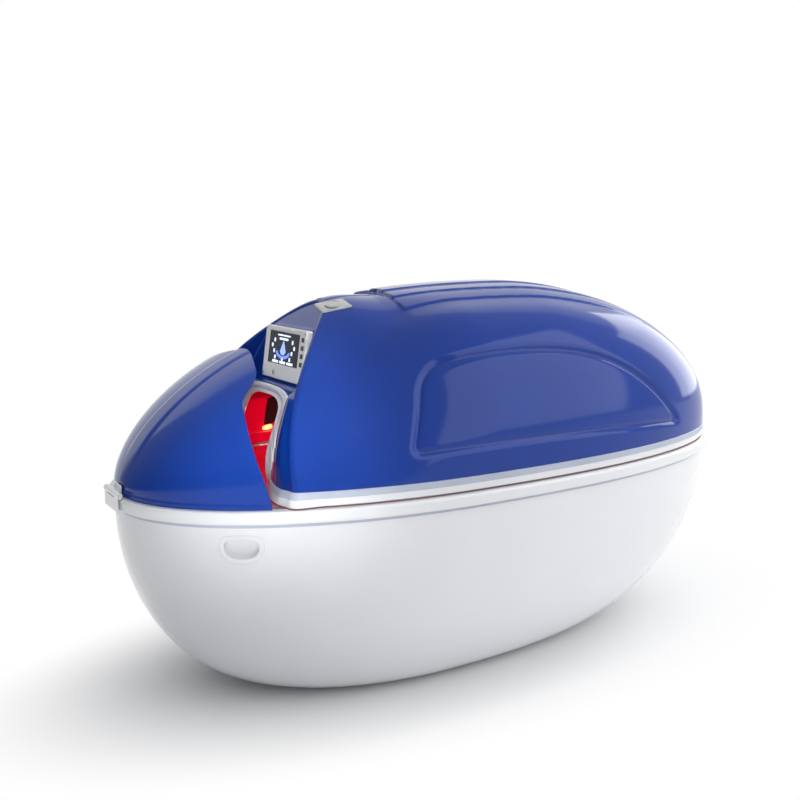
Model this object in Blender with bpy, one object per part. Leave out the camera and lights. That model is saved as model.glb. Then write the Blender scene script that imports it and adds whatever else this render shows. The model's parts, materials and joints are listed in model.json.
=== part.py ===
"""Sauna pod: a white oval tub, a blue lid that lifts from the foot end and a blue hood over the head.

Metres, +Z up. +X is the foot end, -Y the near side, and the origin is on the floor below the middle.
"""

import math

import bmesh
import bpy
from mathutils import Matrix, Vector

# Fits between pieces
GAP = 0.0003
PIVOT_CLEARANCE = 0.0003
SMOOTH_ANGLE = 35
MITRE_LEAST = 0.5

# Rim plan: a head half and a foot half of a superellipse that meet at PLAN_MID
LENGTH = 2.20
WIDTH = 1.0255
PLAN_MID_FROM_HEAD = 0.9293
HEAD_POWER = 2.136
FOOT_POWER = 2.352
PLAN_STEPS = 44

# Tub: rim band, hull with a rounded bilge, flat base
RIM_TOP = 0.620
RIM_HEIGHT = 0.037
RIM_LEDGE = 0.075
RIM_EDGE = 0.006
HULL_OVERHANG = 0.020
HULL_SHOULDER_DROP = 0.018
HULL_WALL = 0.006
HULL_HEAD_SHARE = 0.519
HULL_FOOT_SHARE = 0.484
HULL_SIDE_SHARE = 0.554
HULL_END_POWER = 2.0
HULL_SIDE_POWER = 2.107
HULL_ROWS = 9
FOOT_HEIGHT = 0.006
FOOT_RADIUS = 0.030
FOOT_AHEAD = 0.23
FOOT_BEHIND = 0.39
FOOT_SPREAD = 0.18
TRAY_DEPTH = 0.060
TRAY_DROP = 0.004
TRAY_WALL = 0.006
TRAY_SLOPE = 0.030
BASE_PLATE_THICK = 0.012
BASE_PLATE_SHARE = 0.95

# Lid: gasket, white flange, grey seal, then the blue shell on LID_BASE
LID_INSET = 0.0189
GASKET_HEIGHT = 0.003
GASKET_INSET = 0.030
GASKET_WIDTH = 0.010
FLANGE_HEIGHT = 0.035
FLANGE_WIDTH = 0.041
SEAL_HEIGHT = 0.006
SEAL_PROUD = 0.002
SEAL_WIDTH = 0.008
LID_CROWN = 0.519
LID_CROWN_FROM_FOOT = 0.928
LID_FOOT_POWER = 1.871
LID_HEAD_POWER = 2.126
LID_HEAD_SPARE = 0.521
LID_SECTION_POWER = 2.588
LID_NOSE_POWER = 1.5
LID_NOSE_START = 0.636
LID_NOSE_FINISH = 0.186
LID_WALL = 0.006
LID_ROWS = 24
LID_COLUMNS = 26
LIP_RADIUS = 0.014
LIP_ROWS = 3

# Front of the lid: the shell's edge leans back as it rises, and the walls stand behind it
FRONT_FROM_HEAD = 0.364
FRONT_KNEE = 0.025
FRONT_LEAN = 1.46
FRONT_POWER = 2.06
NECK_WALL_BACK = 0.041
NECK_WALL_LEAN = 0.35
SHELF_FALL = 0.004
CONSOLE_WALL_BACK = 0.169
CONSOLE_WALL_LEAN = 0.14
BROW_DROP = 0.124
FASCIA_WALL = 0.005
CHEEK_FOLD = 0.222
CHEEK_FOLD_LEAN = 0.26
CHEEK_FOLD_MOST = 0.97
NECK_WALL_ROWS = 6
CONSOLE_WALL_ROWS = 5
BROW_ROWS = 3
WALL_COLUMNS = 3
CHEEK_COLUMNS = 4
ARCH_HALF = 0.113
ARCH_DROP = 0.030
ARCH_BAND = 0.028
ARCH_LEG_RATIO = 1.65
ARCH_STEPS = 14
ARCH_SHOULDER = 0.058
ARCH_POWER = 3.0
TRIM_THICK = 0.010
NECK_SEAL_WIDTH = 0.007
NECK_SEAL_THICK = 0.003
NECK_SEAL_PLACE = 0.55

# Lid interior
LINER_SPACE = 0.030
LINER_WALL = 0.004
LINER_BACK = 0.076
LINER_LEAN = 0.55
LINER_ROWS = 16
LINER_LEAD_STEPS = (0, 0.25, 0.5)
LINER_COLUMNS = 30
LINER_SEAT = 0.0006
HEATER_THICK = 0.008
HEATER_ROW_STEPS = (3, 13)
HEATER_COLUMN_STEPS = (1, 3)
LAMP_ROW_STEPS = (3, 4)
LAMP_COLUMN_STEPS = (0, 1)
LAMP_ALONG = (0.05, 0.33)
LAMP_ACROSS = (0.12, 0.88)
LAMP_THICK = 0.010
STRIP_ROW_STEPS = (5, 13)
STRIP_COLUMN_STEPS = (14, 16)
STRIP_THICK = 0.006

# Console on the front wall
CONSOLE_WIDTH = 0.280
CONSOLE_HEIGHT = 0.158
CONSOLE_THICK = 0.018
CONSOLE_SHIFT = -0.0025
CONSOLE_LIFT = 0.006
CONSOLE_HEADROOM = 0.001
CONSOLE_BEVEL = 0.003
SCREEN_WIDTH = 0.203
SCREEN_HEIGHT = 0.097
SCREEN_THICK = 0.004
SCREEN_RISE = 0.100
SCREEN_SHIFT = 0.0035
BUTTON_COUNT = 4
BUTTON_SIZE = 0.013
BUTTON_PITCH = 0.024
BUTTON_SHIFT = -0.124
BUTTON_DEPTH = 0.006
BUTTON_PROUD = 0.003
BUTTON_TRAVEL = 0.0015
BUTTON_BEVEL = 0.0012
POWER_RADIUS = 0.007
POWER_SHIFT = 0.050
POWER_RISE = 0.024
BADGE_BACK = 0.0332
BADGE_TURNS = (0.402, 0.450)
BADGE_LENGTH = 0.085
BADGE_THICK = 0.003
BADGE_PAD = 0.0012
BADGE_DISC_RADIUS = 0.024

# Hood over the head
HOOD_INSET = 0.0194
HOOD_CROWN = 0.430
HOOD_CROWN_BACK = 0.2485
HOOD_POWER = 1.668
HOOD_WALL = 0.006
HOOD_EDGE_AHEAD = 0.051
HOOD_EDGE_TUCK = 0.026
HOOD_EDGE_BROW = 0.084
HOOD_EDGE_TOP = 0.380
HOOD_ROWS = 11
HOOD_COLUMNS = 26

# Hinges at both ends, one for the lid and one for the hood
HINGE_SETBACK = 0.003
HINGE_RADIUS = 0.009
HINGE_PIN_RADIUS = 0.004
HINGE_LEAF_HALF = 0.030
HINGE_HALF = 0.062
HINGE_PLATE = 0.003
HINGE_PLATE_HEIGHT = 0.030
HINGE_WEB = 0.010
HINGE_SIDES = 16

# Gas struts near the foot end, upright when the lid is shut
STRUT_FROM_FOOT = 0.300
STRUT_FROM_SIDE = 0.342
STRUT_FOOT_Z = 0.27
STRUT_HEAD_Z = 0.642
STRUT_TUBE_RADIUS = 0.011
STRUT_ROD_RADIUS = 0.006
STRUT_EYE_RADIUS = 0.012
STRUT_EYE_THICK = 0.023
STRUT_PIN_RADIUS = 0.005
STRUT_TUBE_TOP = 0.045
STRUT_ROD_ROOT = 0.050
STRUT_SIDES = 16
BRACKET_SIZE = 0.050
SLOT_WIDTH = 0.036
SLOT_BACK = 0.030
SLOT_FRONT = 0.100

# Grips let into the hull, and the inlet's housing on it
GRIP_FROM_HEAD = 0.240
GRIP_Z = 0.514
GRIP_WIDTH = 0.092
GRIP_HEIGHT = 0.052
GRIP_BORDER = 0.009
GRIP_PROUD = 0.004
GRIP_DEPTH = 0.035
GRIP_WALL = 0.003
GRIP_ROUND_POWER = 0.6
GRIP_STEPS = 12
INLET_FROM_FOOT = 0.800
INLET_Z = 0.42
INLET_WIDTH = 0.044
INLET_HEIGHT = 0.028
INLET_WALL = 0.004
INLET_STAND = 0.028

# Machinery on the base plate
STEAMER_BEHIND = 0.35
STEAMER_SIZE = (0.26, 0.22, 0.22)
TANK_BEHIND = 0.05
TANK_SIZE = (0.24, 0.32, 0.30)
TANK_CAP_RADIUS = 0.035
TANK_CAP_HEIGHT = 0.020
CONTROL_AHEAD = 0.19
CONTROL_Y = 0.10
CONTROL_SIZE = (0.16, 0.14, 0.18)
BLOWER_AHEAD = 0.21
BLOWER_Y = -0.09
BLOWER_RADIUS = 0.075
BLOWER_HEIGHT = 0.080
BLOWER_WALL = 0.004
IMPELLER_RADIUS = 0.062
IMPELLER_HUB = 0.016
IMPELLER_BLADES = 8
IMPELLER_BLADE = 0.004
MACHINE_BEVEL = 0.010
PIPE_RADIUS = 0.012
PIPE_STEPS = 14
OUTLET_BEHIND = 0.59
OUTLET_RADIUS = 0.032
OUTLET_LIP = 0.010
OUTLET_STEM = 0.015
OUTLET_STEM_DEPTH = 0.030

# Head pillow, a soft cushion on the tray
PILLOW_FROM_HEAD = 0.290
PILLOW_LENGTH = 0.18
PILLOW_WIDTH = 0.34
PILLOW_HEIGHT = 0.085
PILLOW_WAIST = 0.07
PILLOW_HEM = 0.30
PILLOW_CROWN_POWERS = (2.6, 3.2)
PILLOW_STEPS = (8, 14)

# Places worked out from the driving dimensions
HEAD_END, FOOT_END = -LENGTH / 2, LENGTH / 2
PLAN_MID = HEAD_END + PLAN_MID_FROM_HEAD
FRONT_X = HEAD_END + FRONT_FROM_HEAD
NECK_WALL_X = FRONT_X + NECK_WALL_BACK
CONSOLE_WALL_X = FRONT_X + CONSOLE_WALL_BACK
LINER_FRONT_X = FRONT_X + LINER_BACK
LID_NOSE_FROM = FRONT_X + LID_NOSE_START
LID_NOSE_TO = FRONT_X + LID_NOSE_FINISH
LID_CROWN_X = FOOT_END - LID_CROWN_FROM_FOOT
LID_HEAD_REACH = LID_CROWN_X - FRONT_X + LID_HEAD_SPARE
BROW_RISE = LID_CROWN - BROW_DROP
SHELF_RISE = BROW_RISE - CONSOLE_HEADROOM - CONSOLE_HEIGHT - CONSOLE_LIFT
ARCH_RISE = SHELF_RISE - ARCH_DROP
HOOD_CROWN_X = FRONT_X + HOOD_CROWN_BACK
HOOD_EDGE_X = FRONT_X - HOOD_EDGE_AHEAD
STRUT_X = FOOT_END - STRUT_FROM_FOOT
STRUT_Y = WIDTH / 2 - STRUT_FROM_SIDE
GRIP_X = HEAD_END + GRIP_FROM_HEAD
INLET_X = FOOT_END - INLET_FROM_FOOT
PILLOW_X = HEAD_END + PILLOW_FROM_HEAD
STEAMER_X = PLAN_MID + STEAMER_BEHIND
TANK_X = PLAN_MID + TANK_BEHIND
CONTROL_X = PLAN_MID - CONTROL_AHEAD
BLOWER_X = PLAN_MID - BLOWER_AHEAD
OUTLET_X = PLAN_MID + OUTLET_BEHIND
RIM_BOTTOM = RIM_TOP - RIM_HEIGHT
HULL_SHOULDER = RIM_BOTTOM - HULL_SHOULDER_DROP
FLANGE_BOTTOM = RIM_TOP + GASKET_HEIGHT + 2 * GAP
FLANGE_TOP = FLANGE_BOTTOM + FLANGE_HEIGHT
SEAL_TOP = FLANGE_TOP + GAP + SEAL_HEIGHT
LID_BASE = SEAL_TOP + GAP
HOOD_BASE = RIM_TOP + 2 * GAP
HINGE_X = FOOT_END - HINGE_SETBACK
HINGE_Z = RIM_TOP + HINGE_RADIUS + 2 * GAP
TRAY_FLOOR = RIM_TOP - TRAY_DEPTH
PLATE_BOTTOM = FOOT_HEIGHT + HULL_WALL + GAP
PLATE_TOP = PLATE_BOTTOM + BASE_PLATE_THICK
NEAR, FAR = -1, 1


def clear_scene():
    for item in list(bpy.data.objects):
        bpy.data.objects.remove(item, do_unlink=True)


def material(name, colour, roughness, metallic=0.0):
    made = bpy.data.materials.new(name)
    made.use_nodes = True
    shader = made.node_tree.nodes["Principled BSDF"]
    shader.inputs["Base Color"].default_value = (*colour, 1.0)
    shader.inputs["Roughness"].default_value = roughness
    shader.inputs["Metallic"].default_value = metallic
    return made


def add_object(name, bm, surface=None, smooth=True):
    """Turns a bmesh into a linked object whose faces point out."""
    bmesh.ops.recalc_face_normals(bm, faces=bm.faces)
    mesh = bpy.data.meshes.new(name)
    bm.to_mesh(mesh)
    bm.free()
    if smooth:
        mesh.shade_smooth()
        mesh.set_sharp_from_angle(angle=math.radians(SMOOTH_ANGLE))
    made = bpy.data.objects.new(name, mesh)
    bpy.context.scene.collection.objects.link(made)
    if surface:
        made.data.materials.append(surface)
    return made


def helper(made):
    """Marks a cutter or guide, which isn't a piece of the object."""
    made.hide_render = True
    made.display_type = "WIRE"
    return made


def combine(target, other, operation):
    step = target.modifiers.new(operation.lower(), "BOOLEAN")
    step.operation = operation
    step.object = helper(other)
    return target


def bridge(bm, first, second, closed):
    """Joins two rows of vertices with faces. A row of one vertex is a pole."""
    count = max(len(first), len(second))
    for k in range(count if closed else count - 1):
        after = (k + 1) % count
        corners = [first[k % len(first)], first[after % len(first)]]
        corners += [second[after % len(second)], second[k % len(second)]]
        unique = list(dict.fromkeys(corners))
        if len(unique) > 2:
            bm.faces.new(unique)


def loft(name, loops, surface, cap_first=True, cap_last=True):
    """Closed loops of equal length joined in order, with flat caps or joined end to end."""
    bm = bmesh.new()
    rows = [[bm.verts.new(point) for point in loop] for loop in loops]
    for first, second in zip(rows, rows[1:]):
        bridge(bm, first, second, closed=True)
    if cap_first and cap_last:
        bm.faces.new(rows[0])
        bm.faces.new(rows[-1])
    else:
        bridge(bm, rows[-1], rows[0], closed=True)
    return add_object(name, bm, surface)


def dome(name, outer, inner, surface):
    """A thick shell between two grids of rows that run from a free edge to a pole."""
    bm = bmesh.new()
    outer_rows = [[bm.verts.new(point) for point in row] for row in outer]
    inner_rows = [[bm.verts.new(point) for point in row] for row in inner]
    for rows in (outer_rows, inner_rows):
        for first, second in zip(rows, rows[1:]):
            bridge(bm, first, second, closed=False)
    bridge(bm, outer_rows[0], inner_rows[0], closed=False)
    for column in (0, -1):
        bridge(bm, [r[column] for r in outer_rows], [r[column] for r in inner_rows], closed=False)
    return add_object(name, bm, surface)


def sheet(name, front, back, surface):
    """A thick panel between two equal grids of rows."""
    bm = bmesh.new()
    front_rows = [[bm.verts.new(point) for point in row] for row in front]
    back_rows = [[bm.verts.new(point) for point in row] for row in back]
    for rows in (front_rows, back_rows):
        for first, second in zip(rows, rows[1:]):
            bridge(bm, first, second, closed=False)
    for row in (0, -1):
        bridge(bm, front_rows[row], back_rows[row], closed=False)
    for column in (0, -1):
        bridge(bm, [r[column] for r in front_rows], [r[column] for r in back_rows], closed=False)
    return add_object(name, bm, surface)


def box(name, size, centre, surface=None, bevel=0.0, turn=None):
    bm = bmesh.new()
    bmesh.ops.create_cube(bm, size=1.0, matrix=Matrix.Diagonal((*size, 1.0)))
    if bevel:
        bmesh.ops.bevel(bm, geom=bm.edges[:], offset=bevel, segments=1, affect="EDGES", profile=0.5)
    made = add_object(name, bm, surface, smooth=False)
    made.location = centre
    if turn is not None:
        made.rotation_euler = turn
    return made


def cylinder(name, radius, length, centre, surface=None, along="Z", sides=24, turn=None):
    bm = bmesh.new()
    bmesh.ops.create_cone(
        bm, cap_ends=True, segments=sides, radius1=radius, radius2=radius, depth=length
    )
    turns = {"X": (0, math.pi / 2, 0), "Y": (math.pi / 2, 0, 0), "Z": (0, 0, 0)}
    made = add_object(name, bm, surface)
    made.location = centre
    made.rotation_euler = turns[along] if turn is None else turn
    return made


def power_cos(angle, power):
    return math.copysign(abs(math.cos(angle)) ** (2 / power), math.cos(angle))


def power_sin(angle, power):
    return math.copysign(abs(math.sin(angle)) ** (2 / power), math.sin(angle))


def end_plan(x, inset):
    """Reach and power of the plan half that holds x."""
    if x < PLAN_MID:
        return PLAN_MID - HEAD_END - inset, HEAD_POWER
    return FOOT_END - PLAN_MID - inset, FOOT_POWER


def plan_point(angle, inset):
    """Point of the rim outline drawn in by inset; angle 0 is the foot end."""
    reach, power = end_plan(PLAN_MID + math.cos(angle), inset)
    x = PLAN_MID + reach * power_cos(angle, power)
    return x, (WIDTH / 2 - inset) * power_sin(angle, power)


def plan_half_width(x, inset):
    reach, power = end_plan(x, inset)
    share = min(abs(x - PLAN_MID) / reach, 1.0)
    return (WIDTH / 2 - inset) * (1 - share**power) ** (1 / power)


def plan_angles(steps=PLAN_STEPS):
    return [2 * math.pi * k / steps for k in range(steps)]


def plan_loop(inset, z):
    return [(*plan_point(angle, inset), z) for angle in plan_angles()]


def plan_ring(name, section, surface):
    """A full ring round the plan, whose section is a list of (inset, z)."""
    loops = [plan_loop(inset, z) for inset, z in section]
    return loft(name, loops, surface, cap_first=False, cap_last=False)


def solve(function, low, high):
    """Where a rising function of x crosses zero."""
    for _ in range(50):
        middle = (low + high) / 2
        if function(middle) < 0:
            low = middle
        else:
            high = middle
    return (low + high) / 2


def hull_point(angle, drop, inset=0.0, floor=FOOT_HEIGHT):
    """Point of the hull: drop is 0 at the shoulder and 1 on the base."""
    x, y = plan_point(angle, HULL_OVERHANG + inset)
    share = HULL_HEAD_SHARE if x < PLAN_MID else HULL_FOOT_SHARE
    along = share + (1 - share) * (1 - drop**HULL_END_POWER) ** (1 / HULL_END_POWER)
    across = HULL_SIDE_SHARE
    across += (1 - across) * (1 - drop**HULL_SIDE_POWER) ** (1 / HULL_SIDE_POWER)
    z = floor + (HULL_SHOULDER - floor) * (1 - drop)
    return Vector((PLAN_MID + (x - PLAN_MID) * along, y * across, z))


def hull_loops(inset, floor):
    """Loops from the rim down to the base."""
    drops = [math.sin(math.pi / 2 * k / HULL_ROWS) for k in range(HULL_ROWS + 1)]
    loops = [[hull_point(a, drop, inset, floor) for a in plan_angles()] for drop in drops]
    top = [(point.x, point.y, RIM_BOTTOM - GAP) for point in loops[0]]
    return [top, *loops]


def make_hull(surface):
    outer = hull_loops(0.0, FOOT_HEIGHT)
    inner = hull_loops(HULL_WALL, FOOT_HEIGHT + HULL_WALL)
    return loft("tub_shell", [*reversed(outer), *inner], surface)


def hull_void(name):
    """The space inside the hull, just clear of its wall."""
    return loft(name, hull_loops(HULL_WALL + GAP, PLATE_BOTTOM), None)


def hull_site(x, z, side):
    """A patch of the hull at x and z: function from (along, up, out) in metres to a point."""
    drop = (HULL_SHOULDER - z) / (HULL_SHOULDER - FOOT_HEIGHT)
    turn = solve(lambda a: x - hull_point(a, drop).x, 0.0, math.pi)
    step = 1e-4
    along_rate = (hull_point(turn + step, drop) - hull_point(turn, drop)).length / step
    up_rate = (hull_point(turn, drop + step) - hull_point(turn, drop)).length / step

    def place(along, up, out):
        angle, level = turn - along / along_rate, drop - up / up_rate
        point = hull_point(angle, level)
        ahead = hull_point(angle - step, level) - point
        above = hull_point(angle, level - step) - point
        normal = above.cross(ahead).normalized()
        point = point + normal * out
        return Vector((point.x, side * point.y, point.z))

    return place


def d_outline(width, height, grow):
    """A letter-D shape lying on its back: flat top, round bottom."""
    top, half = height / 2 + grow, width / 2 + grow
    points = [(half * (2 * k / GRIP_STEPS - 1), top) for k in range(GRIP_STEPS + 1)]
    for k in range(1, GRIP_STEPS):
        angle = math.pi * k / GRIP_STEPS
        drop = (height + 2 * grow) * math.sin(angle) ** GRIP_ROUND_POWER
        points.append((half * math.cos(angle), top - drop))
    return points


def rectangle_outline(width, height, grow):
    half, rise = width / 2 + grow, height / 2 + grow
    return [(-half, rise), (0, rise), (half, rise), (half, -rise), (0, -rise), (-half, -rise)]


def let_in(name, hull, place, outline, size, surface):
    """A bordered cup let into the hull, and the hole that it sits in."""
    def loop(grow, out):
        return [place(along, up, out) for along, up in outline(*size, grow)]

    border = GRIP_WALL + GRIP_BORDER
    loops = [loop(GRIP_WALL, -GRIP_DEPTH - GRIP_WALL), loop(GRIP_WALL, GAP), loop(border, GAP)]
    loops += [loop(border, GRIP_PROUD), loop(0, GRIP_PROUD), loop(0, -GRIP_DEPTH)]
    loft(name, loops, surface)
    hole = GRIP_WALL + 2 * GAP
    cutter = loft(f"{name}_hole", [loop(hole, -2 * GRIP_DEPTH), loop(hole, GRIP_DEPTH)], None)
    combine(hull, cutter, "DIFFERENCE")


def stand_on(name, place, outline, size, surface):
    """A socket housing that stands on the hull, open outwards, with its back cut to the hull."""
    def loop(grow, out):
        return [place(along, up, out) for along, up in outline(*size, grow)]

    loops = [loop(INLET_WALL, -INLET_STAND), loop(INLET_WALL, INLET_STAND)]
    loops += [loop(0, INLET_STAND), loop(0, INLET_WALL)]
    housing = loft(name, loops, surface)
    combine(housing, loft(f"{name}_seat", hull_loops(-GAP, FOOT_HEIGHT), None), "DIFFERENCE")


def nose_share(x):
    """0 on the full lid section, 1 on the narrower section of the nose."""
    share = (LID_NOSE_FROM - x) / (LID_NOSE_FROM - LID_NOSE_TO)
    share = min(max(share, 0.0), 1.0)
    return share * share * (3 - 2 * share)


def lid_section(x, inset):
    """Half width, crown height and power of the lid's section at x."""
    half = plan_half_width(x, LID_INSET + inset)
    end = FOOT_END - LID_INSET - inset
    if x > LID_CROWN_X:
        share, power = (x - LID_CROWN_X) / (end - LID_CROWN_X), LID_FOOT_POWER
    else:
        share, power = (LID_CROWN_X - x) / LID_HEAD_REACH, LID_HEAD_POWER
    crown = (LID_CROWN - inset) * (1 - min(share, 1.0) ** power) ** (1 / power)
    power = LID_SECTION_POWER + (LID_NOSE_POWER - LID_SECTION_POWER) * nose_share(x)
    return half, crown, power


def lid_point(x, turn, inset, base=LID_BASE):
    """Point of the lid's section; turn runs from 0 at the near edge to 1 at the far edge."""
    half, crown, power = lid_section(x, inset)
    angle = math.pi * turn
    return Vector((x, -half * power_cos(angle, power), base + crown * power_sin(angle, power)))


def front_x(z):
    return FRONT_X + FRONT_LEAN * max(z - LID_BASE - FRONT_KNEE, 0.0) ** FRONT_POWER


def lid_front(turn):
    """x of the shell's front edge at this turn."""
    return solve(lambda x: x - front_x(lid_point(x, turn, 0.0).z), FRONT_X - LIP_RADIUS, LID_CROWN_X)


def lid_rows(wall):
    """Rows of the lid's skin from its rolled front lip to the foot end; wall is 0 outside."""
    turns = [k / LID_COLUMNS for k in range(LID_COLUMNS + 1)]
    fronts = [lid_front(turn) for turn in turns]
    radius = LIP_RADIUS - wall
    rows = []
    for k in range(LIP_ROWS):
        roll = math.pi / 2 * (1 - k / LIP_ROWS)
        back, inset = wall + radius * (1 - math.sin(roll)), wall + radius * (1 - math.cos(roll))
        rows.append([lid_point(x + back, turn, inset) for x, turn in zip(fronts, turns)])
    end = FOOT_END - LID_INSET - wall
    for k in range(LID_ROWS):
        share = math.sin(math.pi / 2 * k / LID_ROWS)
        starts = [x + LIP_RADIUS for x in fronts]
        rows.append([lid_point(x + (end - x) * share, t, wall) for x, t in zip(starts, turns)])
    rows.append([Vector((end, 0, LID_BASE))])
    return rows


def lid_patch(name, x_span, turn_span, insets, base, surface, steps=(8, 4)):
    """A thick patch that follows the lid's section, such as a panel fixed to it."""
    def grid(inset):
        xs = [x_span[0] + (x_span[1] - x_span[0]) * k / steps[0] for k in range(steps[0] + 1)]
        width = turn_span[1] - turn_span[0]
        turns = [turn_span[0] + width * k / steps[1] for k in range(steps[1] + 1)]
        return [[lid_point(x, turn, inset, base) for turn in turns] for x in xs]

    return sheet(name, grid(insets[0]), grid(insets[1]), surface)


def inward_normals(path):
    """Mitred normals along an open plan path, to the left of its direction."""
    normals = []
    for k, point in enumerate(path):
        before = (point - path[k - 1]).normalized() if k else None
        after = (path[k + 1] - point).normalized() if k + 1 < len(path) else None
        before, after = before or after, after or before
        mean = (before + after).normalized()
        normals.append(Vector((-mean.y, mean.x)) / max(mean.dot(before), MITRE_LEAST))
    return normals


def band(name, path, section, surface):
    """An open band along a plan path, whose section is a list of (distance inwards, z)."""
    normals = inward_normals(path)
    loops = [[(*(p + n * inset), z) for inset, z in section] for p, n in zip(path, normals)]
    return loft(name, loops, surface)


def flange_path():
    """Plan path of the lid's bottom edge, from one leg of the neck arch round the foot to the other."""
    near = [row[0].xy for row in lid_rows(0.0)]
    leg = ARCH_HALF + ARCH_LEG_RATIO * ARCH_BAND + GAP
    fold = Vector((NECK_WALL_X, -cheek_fold(LID_BASE)))
    half_path = [Vector((NECK_WALL_X, -leg)), fold, *near]
    return half_path + [Vector((p.x, -p.y)) for p in reversed(half_path[:-1])]


def cheek_fold(z):
    """Half width of the flat middle of the front wall."""
    return CHEEK_FOLD - CHEEK_FOLD_LEAN * (z - LID_BASE)


def wall_x(z):
    """x of the middle of the front wall: neck wall, shelf, console wall, brow."""
    rise = z - LID_BASE
    if rise <= SHELF_RISE:
        return NECK_WALL_X + NECK_WALL_LEAN * rise
    if rise < BROW_RISE:
        return CONSOLE_WALL_X + CONSOLE_WALL_LEAN * (rise - SHELF_RISE)
    return max(front_x(z), CONSOLE_WALL_X + CONSOLE_WALL_LEAN * (BROW_RISE - SHELF_RISE))


def fascia_half(z):
    """Half width of the front wall inside the shell's rolled lip."""
    inset = LIP_RADIUS + GAP
    half, crown, power = lid_section(front_x(z), inset)
    share = min((z - LID_BASE) / crown, 1.0)
    return half * (1 - share**power) ** (1 / power) - GAP


def fascia_rows():
    """Rows of the front wall from the lid's base up to the nose."""
    rises = [SHELF_RISE * k / NECK_WALL_ROWS for k in range(NECK_WALL_ROWS + 1)]
    shelf_back = SHELF_RISE + SHELF_FALL
    wall = BROW_RISE - shelf_back
    rises += [shelf_back + wall * k / CONSOLE_WALL_ROWS for k in range(CONSOLE_WALL_ROWS + 1)]
    low, high = LID_BASE + BROW_RISE, LID_BASE + LID_CROWN
    top = solve(lambda z: GAP - fascia_half(z) + NECK_SEAL_WIDTH, low, high) - LID_BASE
    rises += [BROW_RISE + (top - BROW_RISE) * k / BROW_ROWS for k in range(1, BROW_ROWS + 1)]
    middle = [k / WALL_COLUMNS for k in range(-WALL_COLUMNS, WALL_COLUMNS + 1)]
    cheek = [k / CHEEK_COLUMNS for k in range(1, CHEEK_COLUMNS + 1)]
    rows = []
    for rise in rises:
        z = LID_BASE + rise
        half = fascia_half(z)
        fold = min(cheek_fold(z) if rise <= SHELF_RISE else CONSOLE_WIDTH, CHEEK_FOLD_MOST * half)
        inner, outer = wall_x(z), front_x(z)
        right = [(outer + (inner - outer) * (1 - s), fold + (half - fold) * s) for s in cheek]
        row = [Vector((x, -y, z)) for x, y in reversed(right)]
        row += [Vector((inner, fold * s, z)) for s in middle]
        row += [Vector((x, y, z)) for x, y in right]
        rows.append(row)
    return rows


def neck_frame(rise):
    """Point, up and out directions of the neck wall at this rise."""
    up = Vector((NECK_WALL_LEAN, 0, 1)).normalized()
    out = Vector((-1, 0, NECK_WALL_LEAN)).normalized()
    return Vector((NECK_WALL_X + NECK_WALL_LEAN * rise, 0, LID_BASE + rise)), up, out


def arch_line(grow, foot_rise=0.0):
    """The neck arch as (y, rise), from its near leg over the top to its far leg."""
    half, top = ARCH_HALF + ARCH_LEG_RATIO * grow, ARCH_RISE + grow
    spring = top - ARCH_SHOULDER
    angles = [math.pi * k / ARCH_STEPS for k in range(ARCH_STEPS + 1)]
    points = [
        (-half * power_cos(a, ARCH_POWER), spring + ARCH_SHOULDER * power_sin(a, ARCH_POWER))
        for a in angles
    ]
    return [(-half, foot_rise), *points, (half, foot_rise)]


def arch_loop(line, out):
    points = []
    for y, rise in line:
        point, _, outwards = neck_frame(rise)
        points.append(point + outwards * out + Vector((0, y, 0)))
    return points


def arch_band(name, grows, outs, surface, foot_rise=0.0):
    """A band round the neck arch between two offsets, with flat feet."""
    corners = [(grows[0], outs[0]), (grows[1], outs[0]), (grows[1], outs[1]), (grows[0], outs[1])]
    lines = [arch_loop(arch_line(grow, foot_rise), out) for grow, out in corners]
    loops = [list(points) for points in zip(*lines)]
    return loft(name, loops, surface)


def hood_section(x, inset):
    half = plan_half_width(x, HOOD_INSET + inset)
    end = HEAD_END + HOOD_INSET + inset
    share = min(max((HOOD_CROWN_X - x) / (HOOD_CROWN_X - end), 0.0), 1.0)
    crown = (HOOD_CROWN - inset) * (1 - share**HOOD_POWER) ** (1 / HOOD_POWER)
    return half, crown


def hood_point(x, turn, inset):
    half, crown = hood_section(x, inset)
    angle = math.pi * turn
    y = -half * power_cos(angle, LID_SECTION_POWER)
    return Vector((x, y, HOOD_BASE + crown * power_sin(angle, LID_SECTION_POWER)))


def hood_edge_x(z):
    """x of the hood's free edge: tucked in at the cheek, thrust forward over the brow."""
    share = min((z - HOOD_BASE) / HOOD_EDGE_TOP, 1.0)
    tuck = max(math.sin(math.pi * share), 0.0) ** 1.5
    return HOOD_EDGE_X - HOOD_EDGE_TUCK * tuck + HOOD_EDGE_BROW * share**8


def hood_rows(inset):
    end = HEAD_END + HOOD_INSET + inset
    turns = [k / HOOD_COLUMNS for k in range(HOOD_COLUMNS + 1)]
    low, high = HOOD_EDGE_X - 2 * HOOD_EDGE_TUCK, HOOD_EDGE_X + 2 * HOOD_EDGE_BROW
    edges = [solve(lambda x, t=t: x - hood_edge_x(hood_point(x, t, 0.0).z), low, high) for t in turns]
    rows = []
    for k in range(HOOD_ROWS):
        share = math.sin(math.pi / 2 * k / HOOD_ROWS)
        rows.append([hood_point(x + (end - x) * share, t, inset) for x, t in zip(edges, turns)])
    rows.append([Vector((end, 0, HOOD_BASE))])
    return rows


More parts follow.
